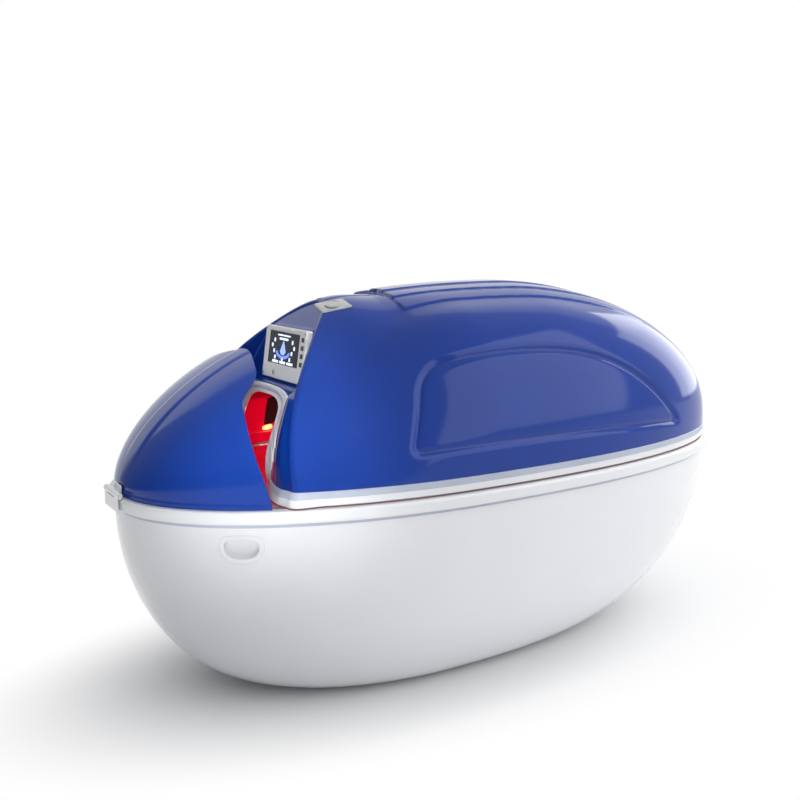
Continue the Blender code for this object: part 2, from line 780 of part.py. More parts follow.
def hinge(prefix, end, leaf_surface, pin_surface):
    """A three-knuckle hinge across one end of the rim; end is 1 at the foot and -1 at the head."""
    axis = Vector((end * HINGE_X, 0, HINGE_Z))
    bore = HINGE_PIN_RADIUS + PIVOT_CLEARANCE
    leaf_inset = LID_INSET if end > 0 else HOOD_INSET
    leaf_bottom = FLANGE_BOTTOM if end > 0 else HOOD_BASE
    leaf_x = end * (FOOT_END - leaf_inset + GAP)
    web_length = HINGE_X - abs(leaf_x)
    plate_z = leaf_bottom + HINGE_PLATE_HEIGHT / 2
    size = (HINGE_PLATE, 2 * HINGE_LEAF_HALF, HINGE_PLATE_HEIGHT)
    leaf = box(f"{prefix}_hinge_leaf", size, (leaf_x + end * HINGE_PLATE / 2, 0, plate_z), leaf_surface)
    web_size = (web_length, 2 * HINGE_LEAF_HALF, HINGE_WEB)
    web = box(f"{prefix}_web", web_size, (leaf_x + end * web_length / 2, 0, HINGE_Z))
    knuckle = cylinder(
        f"{prefix}_knuckle", HINGE_RADIUS, 2 * HINGE_LEAF_HALF, axis, along="Y", sides=HINGE_SIDES
    )
    hole = cylinder(f"{prefix}_leaf_bore", bore, 3 * HINGE_HALF, axis, along="Y", sides=HINGE_SIDES)
    combine(combine(combine(leaf, web, "UNION"), knuckle, "UNION"), hole, "DIFFERENCE")

    plate_x = end * (FOOT_END + GAP + HINGE_PLATE / 2)
    plate_size = (HINGE_PLATE, 2 * HINGE_HALF, RIM_HEIGHT)
    plate_top = HINGE_Z - HINGE_RADIUS - GAP
    centre = (plate_x, 0, plate_top - RIM_HEIGHT / 2)
    base = box(f"{prefix}_hinge_base", plate_size, centre, leaf_surface)
    length = HINGE_HALF - HINGE_LEAF_HALF - 2 * GAP
    for side in (NEAR, FAR):
        y = side * (HINGE_HALF - length / 2)
        at = axis + Vector((0, y, 0))
        ear = cylinder(f"{prefix}_ear_{side}", HINGE_RADIUS, length, at, along="Y", sides=HINGE_SIDES)
        post_size = (HINGE_PLATE, length, HINGE_RADIUS)
        post = box(f"{prefix}_post_{side}", post_size, (plate_x, y, plate_top + HINGE_RADIUS / 2 - 2 * GAP))
        combine(combine(base, post, "UNION"), ear, "UNION")
    base_hole = cylinder(f"{prefix}_base_bore", bore, 3 * HINGE_HALF, axis, along="Y", sides=HINGE_SIDES)
    combine(base, base_hole, "DIFFERENCE")
    pin = cylinder(
        f"{prefix}_hinge_pin", HINGE_PIN_RADIUS, 2 * HINGE_HALF, axis, pin_surface, "Y", HINGE_SIDES
    )
    return leaf, base, pin


def strut_eye(name, centre):
    """Round end of a strut part, and the hole for its pivot."""
    bore = STRUT_PIN_RADIUS + PIVOT_CLEARANCE
    eye = cylinder(name, STRUT_EYE_RADIUS, STRUT_EYE_THICK, centre, along="Y", sides=STRUT_SIDES)
    hole = cylinder(f"{name}_hole", bore, 2 * STRUT_EYE_THICK, centre, along="Y", sides=STRUT_SIDES)
    return eye, hole


def strut(side, tag, surfaces):
    """One gas strut: bracket on the hull, tube, rod, and the lid's stud beside the rod's eye."""
    y = side * STRUT_Y
    foot, head = Vector((STRUT_X, y, STRUT_FOOT_Z)), Vector((STRUT_X, y, STRUT_HEAD_Z))
    face = STRUT_Y + STRUT_EYE_THICK / 2 + 2 * GAP

    block = box(
        f"strut_bracket_{tag}",
        (BRACKET_SIZE, WIDTH / 2 - face, BRACKET_SIZE),
        (STRUT_X, side * (face + WIDTH / 2) / 2, STRUT_FOOT_Z),
        surfaces["steel"],
    )
    combine(block, hull_void(f"strut_bracket_space_{tag}"), "INTERSECT")
    pin_length = STRUT_EYE_THICK + BRACKET_SIZE / 5
    pin_y = side * (face + GAP * 2 - STRUT_EYE_THICK + pin_length / 2 - 2 * GAP)
    pin_at = (STRUT_X, pin_y, STRUT_FOOT_Z)
    pin = cylinder(f"strut_pin_{tag}", STRUT_PIN_RADIUS, pin_length, pin_at, along="Y", sides=STRUT_SIDES)
    combine(block, pin, "UNION")

    tube_length = STRUT_HEAD_Z - STRUT_TUBE_TOP - STRUT_FOOT_Z
    tube = cylinder(
        f"strut_tube_{tag}",
        STRUT_TUBE_RADIUS,
        tube_length,
        foot + Vector((0, 0, tube_length / 2)),
        surfaces["strut_body"],
        sides=STRUT_SIDES,
    )
    eye, hole = strut_eye(f"tube_eye_{tag}", foot)
    root = STRUT_ROD_ROOT - 2 * PIVOT_CLEARANCE
    well = cylinder(
        f"tube_well_{tag}",
        STRUT_ROD_RADIUS + PIVOT_CLEARANCE,
        tube_length,
        foot + Vector((0, 0, root + tube_length / 2)),
        sides=STRUT_SIDES,
    )
    combine(combine(combine(tube, eye, "UNION"), hole, "DIFFERENCE"), well, "DIFFERENCE")

    rod_length = STRUT_HEAD_Z - STRUT_FOOT_Z - STRUT_ROD_ROOT
    rod = cylinder(
        f"strut_rod_{tag}",
        STRUT_ROD_RADIUS,
        rod_length,
        head - Vector((0, 0, rod_length / 2)),
        surfaces["steel"],
        sides=STRUT_SIDES,
    )
    rod_eye, rod_hole = strut_eye(f"rod_eye_{tag}", head)
    combine(combine(rod, rod_eye, "UNION"), rod_hole, "DIFFERENCE")

    reach = WIDTH / 2 - face - GAP
    arm = box(
        f"strut_stud_{tag}",
        (BRACKET_SIZE, reach, FLANGE_HEIGHT / 2),
        (STRUT_X, side * (face + GAP + reach / 2), STRUT_HEAD_Z),
        surfaces["steel"],
    )
    path = flange_path()
    inside = [p + n * (FLANGE_WIDTH + GAP) for p, n in zip(path, inward_normals(path))]
    room = loft(f"strut_stud_space_{tag}", [[(*p, z) for p in inside] for z in (0.0, 1.0)], None)
    combine(arm, room, "INTERSECT")
    return block, tube, rod, arm


def console_frame():
    """Matrix of the console: X across, Y up the wall, Z out of it, from the wall's lower middle."""
    up = Vector((CONSOLE_WALL_LEAN, 0, 1)).normalized()
    out = Vector((-1, 0, CONSOLE_WALL_LEAN)).normalized()
    across = up.cross(out)
    origin = Vector((CONSOLE_WALL_X, 0, LID_BASE + SHELF_RISE)) + out * GAP
    turned = Matrix((across, up, out)).transposed().to_4x4()
    return Matrix.Translation(origin) @ turned


def make_console(surfaces):
    """Silver console with a screen, a column of keys and a power key."""
    frame = console_frame()
    facing = frame.to_euler()
    sign = -1 if frame.col[0].y < 0 else 1

    def spot(y, rise, out):
        return frame @ Vector((sign * y, rise, out))

    rise = CONSOLE_LIFT + CONSOLE_HEIGHT / 2
    size = (CONSOLE_WIDTH, CONSOLE_HEIGHT, CONSOLE_THICK)
    bezel = box(
        "console_bezel", size, spot(CONSOLE_SHIFT, rise, CONSOLE_THICK / 2),
        surfaces["console"], CONSOLE_BEVEL, facing,
    )
    screen_size = (SCREEN_WIDTH, SCREEN_HEIGHT, SCREEN_THICK)
    screen_out = CONSOLE_THICK - SCREEN_THICK / 2 - GAP
    screen_at = spot(SCREEN_SHIFT, SCREEN_RISE, screen_out)
    screen = box("console_screen", screen_size, screen_at, surfaces["screen"], 0, facing)
    pocket_size = (SCREEN_WIDTH + 2 * GAP, SCREEN_HEIGHT + 2 * GAP, SCREEN_THICK * 2)
    pocket_out = screen_out + SCREEN_THICK / 2 - GAP
    pocket = box("screen_pocket", pocket_size, spot(SCREEN_SHIFT, SCREEN_RISE, pocket_out), None, 0, facing)
    combine(bezel, pocket, "DIFFERENCE")

    moved = []
    well_out = CONSOLE_THICK - BUTTON_DEPTH + BUTTON_PROUD - BUTTON_TRAVEL - GAP
    key_out = CONSOLE_THICK + BUTTON_PROUD - BUTTON_DEPTH / 2
    for k in range(BUTTON_COUNT):
        up = SCREEN_RISE + BUTTON_PITCH * (k - (BUTTON_COUNT - 1) / 2)
        key_size = (BUTTON_SIZE, BUTTON_SIZE, BUTTON_DEPTH)
        key_at = spot(BUTTON_SHIFT, up, key_out)
        key = box(f"console_key_{k + 1}", key_size, key_at, surfaces["key"], BUTTON_BEVEL, facing)
        well_size = (BUTTON_SIZE + 2 * GAP, BUTTON_SIZE + 2 * GAP, CONSOLE_THICK)
        well_at = spot(BUTTON_SHIFT, up, well_out + CONSOLE_THICK / 2)
        well = box(f"key_well_{k + 1}", well_size, well_at, None, 0, facing)
        combine(bezel, well, "DIFFERENCE")
        moved.append(key)
    power = cylinder(
        "power_key", POWER_RADIUS, BUTTON_DEPTH, spot(POWER_SHIFT, POWER_RISE, key_out),
        surfaces["steel"], sides=20, turn=facing,
    )
    power_well = cylinder(
        "power_well", POWER_RADIUS + GAP, CONSOLE_THICK,
        spot(POWER_SHIFT, POWER_RISE, well_out + CONSOLE_THICK / 2), sides=20, turn=facing,
    )
    combine(bezel, power_well, "DIFFERENCE")
    moved.append(power)
    return bezel, screen, moved


def make_badge(surfaces):
    """Plain square plate and disc on the near shoulder of the nose."""
    middle = sum(BADGE_TURNS) / 2
    badge_x = lid_front(middle) + BADGE_BACK
    spans = (badge_x - BADGE_LENGTH / 2, badge_x + BADGE_LENGTH / 2), BADGE_TURNS
    insets = (-BADGE_PAD, -BADGE_PAD - BADGE_THICK)
    plate = lid_patch("badge_plate", *spans, insets, LID_BASE, surfaces["badge"], (6, 6))
    centre = lid_point(badge_x, middle, insets[1])
    along = lid_point(spans[0][1], middle, 0) - lid_point(spans[0][0], middle, 0)
    across = lid_point(badge_x, BADGE_TURNS[0], 0) - lid_point(badge_x, BADGE_TURNS[1], 0)
    normal = across.cross(along).normalized()
    if normal.z < 0:
        normal.negate()
    facing = normal.to_track_quat("Z", "Y").to_euler()
    middle_out = centre + normal * (BADGE_THICK / 2 + GAP)
    disc = cylinder(
        "badge_disc", BADGE_DISC_RADIUS, BADGE_THICK, middle_out, surfaces["steel"], sides=28, turn=facing
    )
    return plate, disc


def make_pillow(surface):
    """A crowned head cushion with drawn-in sides and a flat underside."""
    bottom = TRAY_FLOOR + TRAY_WALL + GAP
    rows_across, rows_along = PILLOW_STEPS
    along_power, across_power = PILLOW_CROWN_POWERS

    def point(u, v, top):
        x = PILLOW_LENGTH / 2 * u * (1 - PILLOW_WAIST * (1 - v * v))
        y = PILLOW_WIDTH / 2 * v * (1 - PILLOW_WAIST * (1 - u * u))
        swell = math.sqrt((1 - abs(u) ** along_power) * (1 - abs(v) ** across_power))
        share = PILLOW_HEM + (1 - PILLOW_HEM) * swell if top else PILLOW_HEM * (1 - min(3 * swell, 1.0))
        return Vector((PILLOW_X + x, y, bottom + PILLOW_HEIGHT * share))

    def grid(top):
        us = [math.sin(math.pi * (k / rows_across - 0.5)) for k in range(rows_across + 1)]
        vs = [math.sin(math.pi * (k / rows_along - 0.5)) for k in range(rows_along + 1)]
        return [[point(u, v, top) for v in vs] for u in us]

    top, under = grid(True), grid(False)
    bm = bmesh.new()
    top_rows = [[bm.verts.new(p) for p in row] for row in top]
    under_rows = []
    for k, row in enumerate(under):
        edge = k in (0, len(under) - 1)
        ends = (0, len(row) - 1)
        shared = [edge or j in ends for j in range(len(row))]
        under_rows.append([
            top_rows[k][j] if shared[j] else bm.verts.new(point) for j, point in enumerate(row)
        ])
    for rows in (top_rows, under_rows):
        for first, second in zip(rows, rows[1:]):
            bridge(bm, first, second, closed=False)
    return add_object("head_pillow", bm, surface)


def make_blower(surfaces):
    """Open-topped fan drum on the base plate, with a bladed rotor on a hub."""
    centre = Vector((BLOWER_X, BLOWER_Y, PLATE_TOP + GAP + BLOWER_HEIGHT / 2))
    drum = cylinder("blower_housing", BLOWER_RADIUS, BLOWER_HEIGHT, centre, surfaces["machine"], sides=28)
    space = centre + Vector((0, 0, BLOWER_WALL))
    well = cylinder("blower_well", BLOWER_RADIUS - BLOWER_WALL, BLOWER_HEIGHT, space, sides=28)
    combine(drum, well, "DIFFERENCE")

    bottom = centre.z - BLOWER_HEIGHT / 2 + BLOWER_WALL + GAP
    hub_height = BLOWER_HEIGHT - 3 * BLOWER_WALL
    hub_at = Vector((BLOWER_X, BLOWER_Y, bottom + hub_height / 2))
    rotor = cylinder("blower_impeller", IMPELLER_HUB, hub_height, hub_at, surfaces["key"], sides=16)
    blade_height = hub_height - 2 * BLOWER_WALL
    blade_z = bottom + BLOWER_WALL + blade_height / 2
    for k in range(IMPELLER_BLADES // 2):
        size = (2 * IMPELLER_RADIUS, IMPELLER_BLADE, blade_height)
        turn = (0, 0, math.pi * k / (IMPELLER_BLADES // 2))
        blade = box(f"blade_{k + 1}", size, (BLOWER_X, BLOWER_Y, blade_z), turn=turn)
        combine(rotor, blade, "UNION")
    return drum, rotor


def tube_along(name, points, radius, surface):
    curve = bpy.data.curves.new(name, "CURVE")
    curve.dimensions = "3D"
    curve.bevel_depth = radius
    curve.bevel_resolution = 2
    curve.use_fill_caps = True
    line = curve.splines.new("POLY")
    line.points.add(len(points) - 1)
    for target, point in zip(line.points, points):
        target.co = (*point, 1.0)
    made = bpy.data.objects.new(name, curve)
    bpy.context.scene.collection.objects.link(made)
    made.data.materials.append(surface)
    return made


def make_machinery(tray, surfaces):
    """Steamer, water tank, control box and blower on the base plate, and the steam outlet in the tray."""
    def stand(name, x, y, size, surface):
        centre = (x, y, PLATE_TOP + GAP + size[2] / 2)
        return box(name, size, centre, surface, MACHINE_BEVEL)

    stand("steam_generator", STEAMER_X, 0, STEAMER_SIZE, surfaces["machine"])
    stand("water_tank", TANK_X, 0, TANK_SIZE, surfaces["tank"])
    stand("control_box", CONTROL_X, CONTROL_Y, CONTROL_SIZE, surfaces["machine"])
    cap_z = PLATE_TOP + 2 * GAP + TANK_SIZE[2] + TANK_CAP_HEIGHT / 2
    cylinder("tank_cap", TANK_CAP_RADIUS, TANK_CAP_HEIGHT, (TANK_X, 0, cap_z), surfaces["key"])

    stem_bottom = TRAY_FLOOR - OUTLET_STEM_DEPTH
    lip_z = TRAY_FLOOR + TRAY_WALL + GAP
    outlet = cylinder(
        "steam_outlet", OUTLET_RADIUS, OUTLET_LIP, (OUTLET_X, 0, lip_z + OUTLET_LIP / 2), surfaces["steel"]
    )
    stem_length = lip_z + OUTLET_LIP / 2 - stem_bottom
    stem_at = (OUTLET_X, 0, stem_bottom + stem_length / 2)
    combine(outlet, cylinder("outlet_stem", OUTLET_STEM, stem_length, stem_at), "UNION")
    combine(tray, cylinder("outlet_hole", OUTLET_STEM + 2 * GAP, TRAY_DEPTH, stem_at), "DIFFERENCE")

    start = Vector((STEAMER_X, 0, PLATE_TOP + 2 * GAP + STEAMER_SIZE[2]))
    finish = Vector((OUTLET_X, 0, stem_bottom - GAP))
    route = [start]
    for k in range(PIPE_STEPS + 1):
        share = k / PIPE_STEPS
        smooth = share * share * (3 - 2 * share)
        x = start.x + (finish.x - start.x) * smooth
        z = start.z + PIPE_RADIUS + (finish.z - start.z - 2 * PIPE_RADIUS) * share
        route.append((x, 0, z))
    route.append(finish)
    tube_along("steam_pipe", route, PIPE_RADIUS, surfaces["hose"])


def make_tray(surface):
    """The bed's tray up to the struts, and the foot deck behind it with an open slot for each strut."""
    top, outside = RIM_TOP - TRAY_DROP, RIM_LEDGE + GAP
    loops = [plan_loop(outside + TRAY_SLOPE, TRAY_FLOOR), plan_loop(outside, top)]
    loops += [plan_loop(outside + TRAY_WALL, top)]
    loops += [plan_loop(outside + TRAY_SLOPE + TRAY_WALL, TRAY_FLOOR + TRAY_WALL)]
    split, middle = STRUT_X - SLOT_BACK, RIM_TOP - TRAY_DEPTH / 2
    size = (LENGTH, WIDTH, 3 * TRAY_DEPTH)
    tray, deck = loft("bed_tray", loops, surface), loft("foot_deck", loops, surface)
    combine(tray, box("tray_end", size, (split + LENGTH / 2, 0, middle)), "DIFFERENCE")
    combine(deck, box("deck_end", size, (split + GAP - LENGTH / 2, 0, middle)), "DIFFERENCE")
    for side in (NEAR, FAR):
        slot_size = (2 * (SLOT_BACK + SLOT_FRONT), SLOT_WIDTH, 3 * TRAY_DEPTH)
        slot = box(f"strut_slot_{side}", slot_size, (split, side * STRUT_Y, middle))
        combine(deck, slot, "DIFFERENCE")
    return tray


def make_tub(surfaces):
    """Everything that stands still: hull, rim, tray, feet, grips, inlet and pillow."""
    hull = make_hull(surfaces["white"])
    edge = RIM_EDGE
    rim = [(edge, RIM_BOTTOM), (0, RIM_BOTTOM + edge), (0, RIM_TOP - edge), (edge / 3, RIM_TOP - edge / 3)]
    rim += [(edge, RIM_TOP), (RIM_LEDGE, RIM_TOP), (RIM_LEDGE, RIM_BOTTOM)]
    plan_ring("tub_rim", rim, surfaces["white"])
    low, high = RIM_TOP + GAP, RIM_TOP + GAP + GASKET_HEIGHT
    inner = GASKET_INSET + GASKET_WIDTH
    section = [(GASKET_INSET, low), (GASKET_INSET, high), (inner, high), (inner, low)]
    plan_ring("rim_gasket", section, surfaces["gasket"])

    tray = make_tray(surfaces["liner"])
    plate = []
    for z in (PLATE_BOTTOM, PLATE_TOP):
        oval = [hull_point(angle, 1.0, HULL_WALL) for angle in plan_angles()]
        share = BASE_PLATE_SHARE
        plate.append([(PLAN_MID + (p.x - PLAN_MID) * share, p.y * share, z) for p in oval])
    loft("base_plate", plate, surfaces["board"])
    for end, x in (("head", PLAN_MID - FOOT_AHEAD), ("foot", PLAN_MID + FOOT_BEHIND)):
        for side, tag in ((NEAR, "near"), (FAR, "far")):
            height = FOOT_HEIGHT - GAP
            at = (x, side * FOOT_SPREAD, height / 2)
            cylinder(f"rubber_foot_{end}_{tag}", FOOT_RADIUS, height, at, surfaces["rubber"])
    for side, tag in ((NEAR, "near"), (FAR, "far")):
        place = hull_site(GRIP_X, GRIP_Z, side)
        let_in(f"grip_cup_{tag}", hull, place, d_outline, (GRIP_WIDTH, GRIP_HEIGHT), surfaces["white"])
    place = hull_site(INLET_X, INLET_Z, FAR)
    stand_on("power_inlet", place, rectangle_outline, (INLET_WIDTH, INLET_HEIGHT), surfaces["key"])
    make_pillow(surfaces["pillow"])
    make_machinery(tray, surfaces)
    return make_blower(surfaces)


def make_lid(surfaces):
    """Shell, flange, seal, front wall, neck trim, liner, heaters and lamps of the lid."""
    outer, inner = lid_rows(0.0), lid_rows(LID_WALL)
    pieces = [dome("lid_shell", outer, inner, surfaces["blue"])]

    path = flange_path()
    flange = [(0, FLANGE_BOTTOM), (0, FLANGE_TOP), (FLANGE_WIDTH, FLANGE_TOP), (FLANGE_WIDTH, FLANGE_BOTTOM)]
    pieces.append(band("lid_flange", path, flange, surfaces["white"]))
    low = FLANGE_TOP + GAP
    proud, inside = -SEAL_PROUD, SEAL_WIDTH - SEAL_PROUD
    seal = [(proud, low), (proud, SEAL_TOP), (inside, SEAL_TOP), (inside, low)]
    pieces.append(band("lid_seal", path, seal, surfaces["seal"]))

    front = fascia_rows()
    floor = front[0][0].z
    depth = Vector((FASCIA_WALL, 0, -FASCIA_WALL))
    back = []
    for row in front:
        shifted = [point + depth for point in row]
        back.append([Vector((p.x, p.y, max(p.z, floor))) for p in shifted])
    fascia = sheet("lid_fascia", front, back, surfaces["blue"])
    opening = arch_line(ARCH_BAND / 2, -ARCH_RISE)
    cutter = loft("neck_opening", [arch_loop(opening, -ARCH_RISE), arch_loop(opening, ARCH_RISE)], None)
    combine(fascia, cutter, "DIFFERENCE")
    pieces.append(fascia)
    trim_out = GAP + TRIM_THICK
    pieces.append(arch_band("neck_trim", (0.0, ARCH_BAND), (GAP, trim_out), surfaces["white"]))
    middle = ARCH_BAND * NECK_SEAL_PLACE
    spread = (middle - NECK_SEAL_WIDTH / 2, middle + NECK_SEAL_WIDTH / 2)
    seal_outs = (trim_out + GAP, trim_out + GAP + NECK_SEAL_THICK)
    pieces.append(arch_band("neck_seal", spread, seal_outs, surfaces["seal"], TRIM_THICK))

    pieces += make_liner(surfaces)
    return pieces


def liner_rows(inset):
    """Rows of the lining from its slanted front edge to the foot end."""
    base = FLANGE_TOP + GAP
    turns = [k / LINER_COLUMNS for k in range(LINER_COLUMNS + 1)]

    def edge(x, turn):
        rise = lid_point(x, turn, LINER_SPACE, base).z - base
        return x - LINER_FRONT_X - LINER_LEAN * rise

    fronts = [solve(lambda x, t=t: edge(x, t), LINER_FRONT_X - LINER_WALL, LID_CROWN_X) for t in turns]
    end = FOOT_END - LID_INSET - inset
    rows = []
    for k in [*LINER_LEAD_STEPS, *range(1, LINER_ROWS)]:
        share = math.sin(math.pi / 2 * k / LINER_ROWS)
        rows.append([lid_point(x + (end - x) * share, t, inset, base) for x, t in zip(fronts, turns)])
    rows.append([Vector((end, 0, base))])
    return rows


def part_of(grid, along, across):
    """A smaller patch within one four-cornered patch of points."""
    (a, b), (c, d) = grid
    return [[a.lerp(b, v).lerp(c.lerp(d, v), u) for v in across] for u in along]


def on_liner(name, rows, columns, thick, surface, along=None, across=None):
    """A panel on the lining's inner face, along the same rows and columns or a part of one patch."""
    seat = LINER_SPACE + LINER_WALL + LINER_SEAT

    def grid(inset):
        chosen = liner_rows(inset)[rows[0] : rows[1] + 1]
        panel = [row[columns[0] : columns[1] + 1] for row in chosen]
        return part_of(panel, along, across) if along else panel

    return sheet(name, grid(seat), grid(seat + thick), surface)


def make_liner(surfaces):
    """Red inner lining of the lid with its infrared panels, lamps and light strip."""
    inner = liner_rows(LINER_SPACE + LINER_WALL)
    pieces = [dome("lid_liner", liner_rows(LINER_SPACE), inner, surfaces["liner"])]
    for tag in ("near", "far"):
        heater, lamp = [
            columns if tag == "near" else tuple(LINER_COLUMNS - k for k in reversed(columns))
            for columns in (HEATER_COLUMN_STEPS, LAMP_COLUMN_STEPS)
        ]
        name, rows = f"heater_panel_{tag}", HEATER_ROW_STEPS
        pieces.append(on_liner(name, rows, heater, HEATER_THICK, surfaces["heater"]))
        name, rows = f"cabin_lamp_{tag}", LAMP_ROW_STEPS
        pieces.append(on_liner(name, rows, lamp, LAMP_THICK, surfaces["lamp"], LAMP_ALONG, LAMP_ACROSS))
    strip = on_liner("light_strip", STRIP_ROW_STEPS, STRIP_COLUMN_STEPS, STRIP_THICK, surfaces["lamp"])
    return [*pieces, strip]


def make_surfaces():
    return {
        "white": material("white_gelcoat", (0.86, 0.87, 0.88), 0.18),
        "blue": material("blue_gelcoat", (0.02, 0.05, 0.36), 0.10),
        "gasket": material("parting_gasket", (0.16, 0.05, 0.05), 0.60),
        "seal": material("grey_seal", (0.42, 0.47, 0.53), 0.50),
        "rubber": material("black_rubber", (0.02, 0.02, 0.02), 0.80),
        "steel": material("bright_steel", (0.62, 0.62, 0.63), 0.25, 1.0),
        "strut_body": material("black_strut", (0.02, 0.02, 0.02), 0.35),
        "console": material("silver_console", (0.62, 0.63, 0.62), 0.35, 0.3),
        "screen": material("dark_screen", (0.03, 0.04, 0.08), 0.08),
        "key": material("dark_plastic", (0.06, 0.06, 0.07), 0.45),
        "badge": material("silver_badge", (0.66, 0.66, 0.64), 0.30, 0.8),
        "heater": material("black_heater", (0.01, 0.01, 0.01), 0.55),
        "lamp": material("warm_lamp", (1.0, 0.72, 0.40), 0.30),
        "liner": material("red_lit_liner", (0.55, 0.01, 0.03), 0.35),
        "machine": material("grey_machine", (0.35, 0.37, 0.39), 0.45, 0.4),
        "board": material("base_board", (0.40, 0.30, 0.20), 0.60),
        "tank": material("milky_tank", (0.75, 0.78, 0.80), 0.50),
        "hose": material("dark_hose", (0.08, 0.08, 0.09), 0.60),
        "pillow": material("pillow_cover", (0.80, 0.80, 0.79), 0.55),
    }


def carry(name, pivot, pieces):
    """Parents pieces to an empty on their joint's axis, without moving them."""
    empty = bpy.data.objects.new(name, None)
    empty.location = pivot
    bpy.context.scene.collection.objects.link(empty)
    bpy.context.view_layer.update()
    for piece in pieces:
        piece.parent = empty
        piece.matrix_parent_inverse = empty.matrix_world.inverted()
    return empty


def main():
    clear_scene()
    surfaces = make_surfaces()
    drum, rotor = make_tub(surfaces)
    carry("blower_axis", (BLOWER_X, BLOWER_Y, PLATE_TOP), [rotor])

    lid_pieces = make_lid(surfaces)
    bezel, screen, keys = make_console(surfaces)
    lid_pieces += [bezel, screen, *keys, *make_badge(surfaces)]
    leaf, _, _ = hinge("lid", 1, surfaces["steel"], surfaces["steel"])
    lid_pieces.append(leaf)
    for side, tag in ((NEAR, "near"), (FAR, "far")):
        _, tube, rod, stud = strut(side, tag, surfaces)
        carry(f"strut_axis_{tag}", (STRUT_X, side * STRUT_Y, STRUT_FOOT_Z), [tube, rod])
        lid_pieces.append(stud)
    carry("lid_axis", (HINGE_X, 0, HINGE_Z), lid_pieces)

    hood = dome("hood_shell", hood_rows(0.0), hood_rows(HOOD_WALL), surfaces["blue"])
    hood_leaf, _, _ = hinge("hood", -1, surfaces["white"], surfaces["steel"])
    carry("hood_axis", (-HINGE_X, 0, HINGE_Z), [hood, hood_leaf])


main()
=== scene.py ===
"""Looks of the sauna pod: fine skins, trims, finishes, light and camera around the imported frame."""

import json
import math

import bmesh
import bpy
import numpy as np
from mathutils import Matrix, Vector

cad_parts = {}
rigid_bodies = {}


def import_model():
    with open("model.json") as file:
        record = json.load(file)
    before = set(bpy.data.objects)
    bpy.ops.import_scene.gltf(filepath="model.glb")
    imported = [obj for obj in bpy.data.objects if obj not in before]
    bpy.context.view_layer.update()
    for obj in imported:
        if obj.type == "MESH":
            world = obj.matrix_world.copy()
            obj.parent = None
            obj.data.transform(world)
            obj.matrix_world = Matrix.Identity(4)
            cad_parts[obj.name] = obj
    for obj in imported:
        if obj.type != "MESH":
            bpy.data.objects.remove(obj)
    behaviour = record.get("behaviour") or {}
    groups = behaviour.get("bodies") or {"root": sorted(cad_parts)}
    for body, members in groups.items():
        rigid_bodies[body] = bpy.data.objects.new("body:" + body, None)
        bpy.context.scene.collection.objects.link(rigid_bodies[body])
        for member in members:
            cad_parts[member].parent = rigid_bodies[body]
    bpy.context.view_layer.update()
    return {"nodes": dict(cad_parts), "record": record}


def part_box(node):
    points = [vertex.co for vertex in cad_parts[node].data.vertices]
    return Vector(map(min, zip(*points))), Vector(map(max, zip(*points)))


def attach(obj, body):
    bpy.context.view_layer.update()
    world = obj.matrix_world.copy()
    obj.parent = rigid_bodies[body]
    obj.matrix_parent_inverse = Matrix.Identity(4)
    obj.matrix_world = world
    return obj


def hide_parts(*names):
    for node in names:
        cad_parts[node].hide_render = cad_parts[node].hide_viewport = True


# All lengths are in metres. X runs from the head end to the foot end, -Y is the near side.
GAP = 0.0003
TINY = 1e-12
CREASE = 35
SAMPLES = np.linspace(0, 1, 2001)
EDGE_SHARE = 3e-4
HALVINGS = 46
CORNER_MOST = 0.45
CORNERS = ((-1, 1), (1, 1), (1, -1), (-1, -1))
SIDES = ((-1, "near"), (1, "far"))

# Plan of the rim
LENGTH = 2.20
WIDTH = 1.0255
HEAD_END = -1.1
FOOT_END = 1.1
PLAN_MID = -0.1707
HEAD_POWER = 2.136
FOOT_POWER = 2.352
PLAN_STEPS = 220

# Hull and rim
RIM_TOP = 0.620
RIM_BOTTOM = 0.583
RIM_LEDGE = 0.075
RIM_ROUND = 0.010
HULL_OVERHANG = 0.020
HULL_SHOULDER = 0.565
HULL_WALL = 0.006
HULL_FLOOR = 0.006
HULL_HEAD_SHARE = 0.519
HULL_FOOT_SHARE = 0.484
HULL_SIDE_SHARE = 0.554
HULL_END_POWER = 2.0
HULL_SIDE_POWER = 2.107
HULL_ROWS = 56
COVE_PROUD = 0.0012
COVE_HEIGHT = 0.010
COVE_ROUND = 0.0005
GASKET_INSETS = (0.030, 0.040)
GASKET_ROUND = 0.001

# Lid: skin, flange, seal
LID_INSET = 0.0189
FLANGE_BOTTOM = 0.6236
FLANGE_TOP = 0.6586
FLANGE_WIDTH = 0.041
FLANGE_ROUND = 0.006
FLANGE_STEPS = 170
SEAL_TOP = 0.6649
SEAL_DROP = 0.013
SEAL_INSETS = (-0.0025, 0.006)
SEAL_ROUND = 0.0025
LINE_INSETS = (0.001, 0.008)
LINE_RISE = 0.0009
HEM_INSETS = (FLANGE_WIDTH + 0.0004, FLANGE_WIDTH + 0.0014)
HEM_RISE = 0.001
LID_BASE = 0.6652
LID_CROWN = 0.519
LID_CROWN_X = 0.172
LID_FOOT_POWER = 1.871
LID_HEAD_POWER = 2.126
LID_HEAD_REACH = 1.429
LID_SECTION_POWER = 2.588
LID_NOSE_POWER = 1.5
LID_NOSE_FROM = -0.10
LID_NOSE_TO = -0.55
LID_WALL = 0.006
LID_SAMPLE_X = 0.1
LIP_RADIUS = 0.014
LIP_INNER = 0.004
FRONT_X = -0.736
FRONT_KNEE = 0.025
FRONT_LEAN = 1.46
FRONT_POWER = 2.06
LID_ROWS = 330
LID_COLUMNS = 300
LIP_ROWS = 8
INNER_ROWS = 14

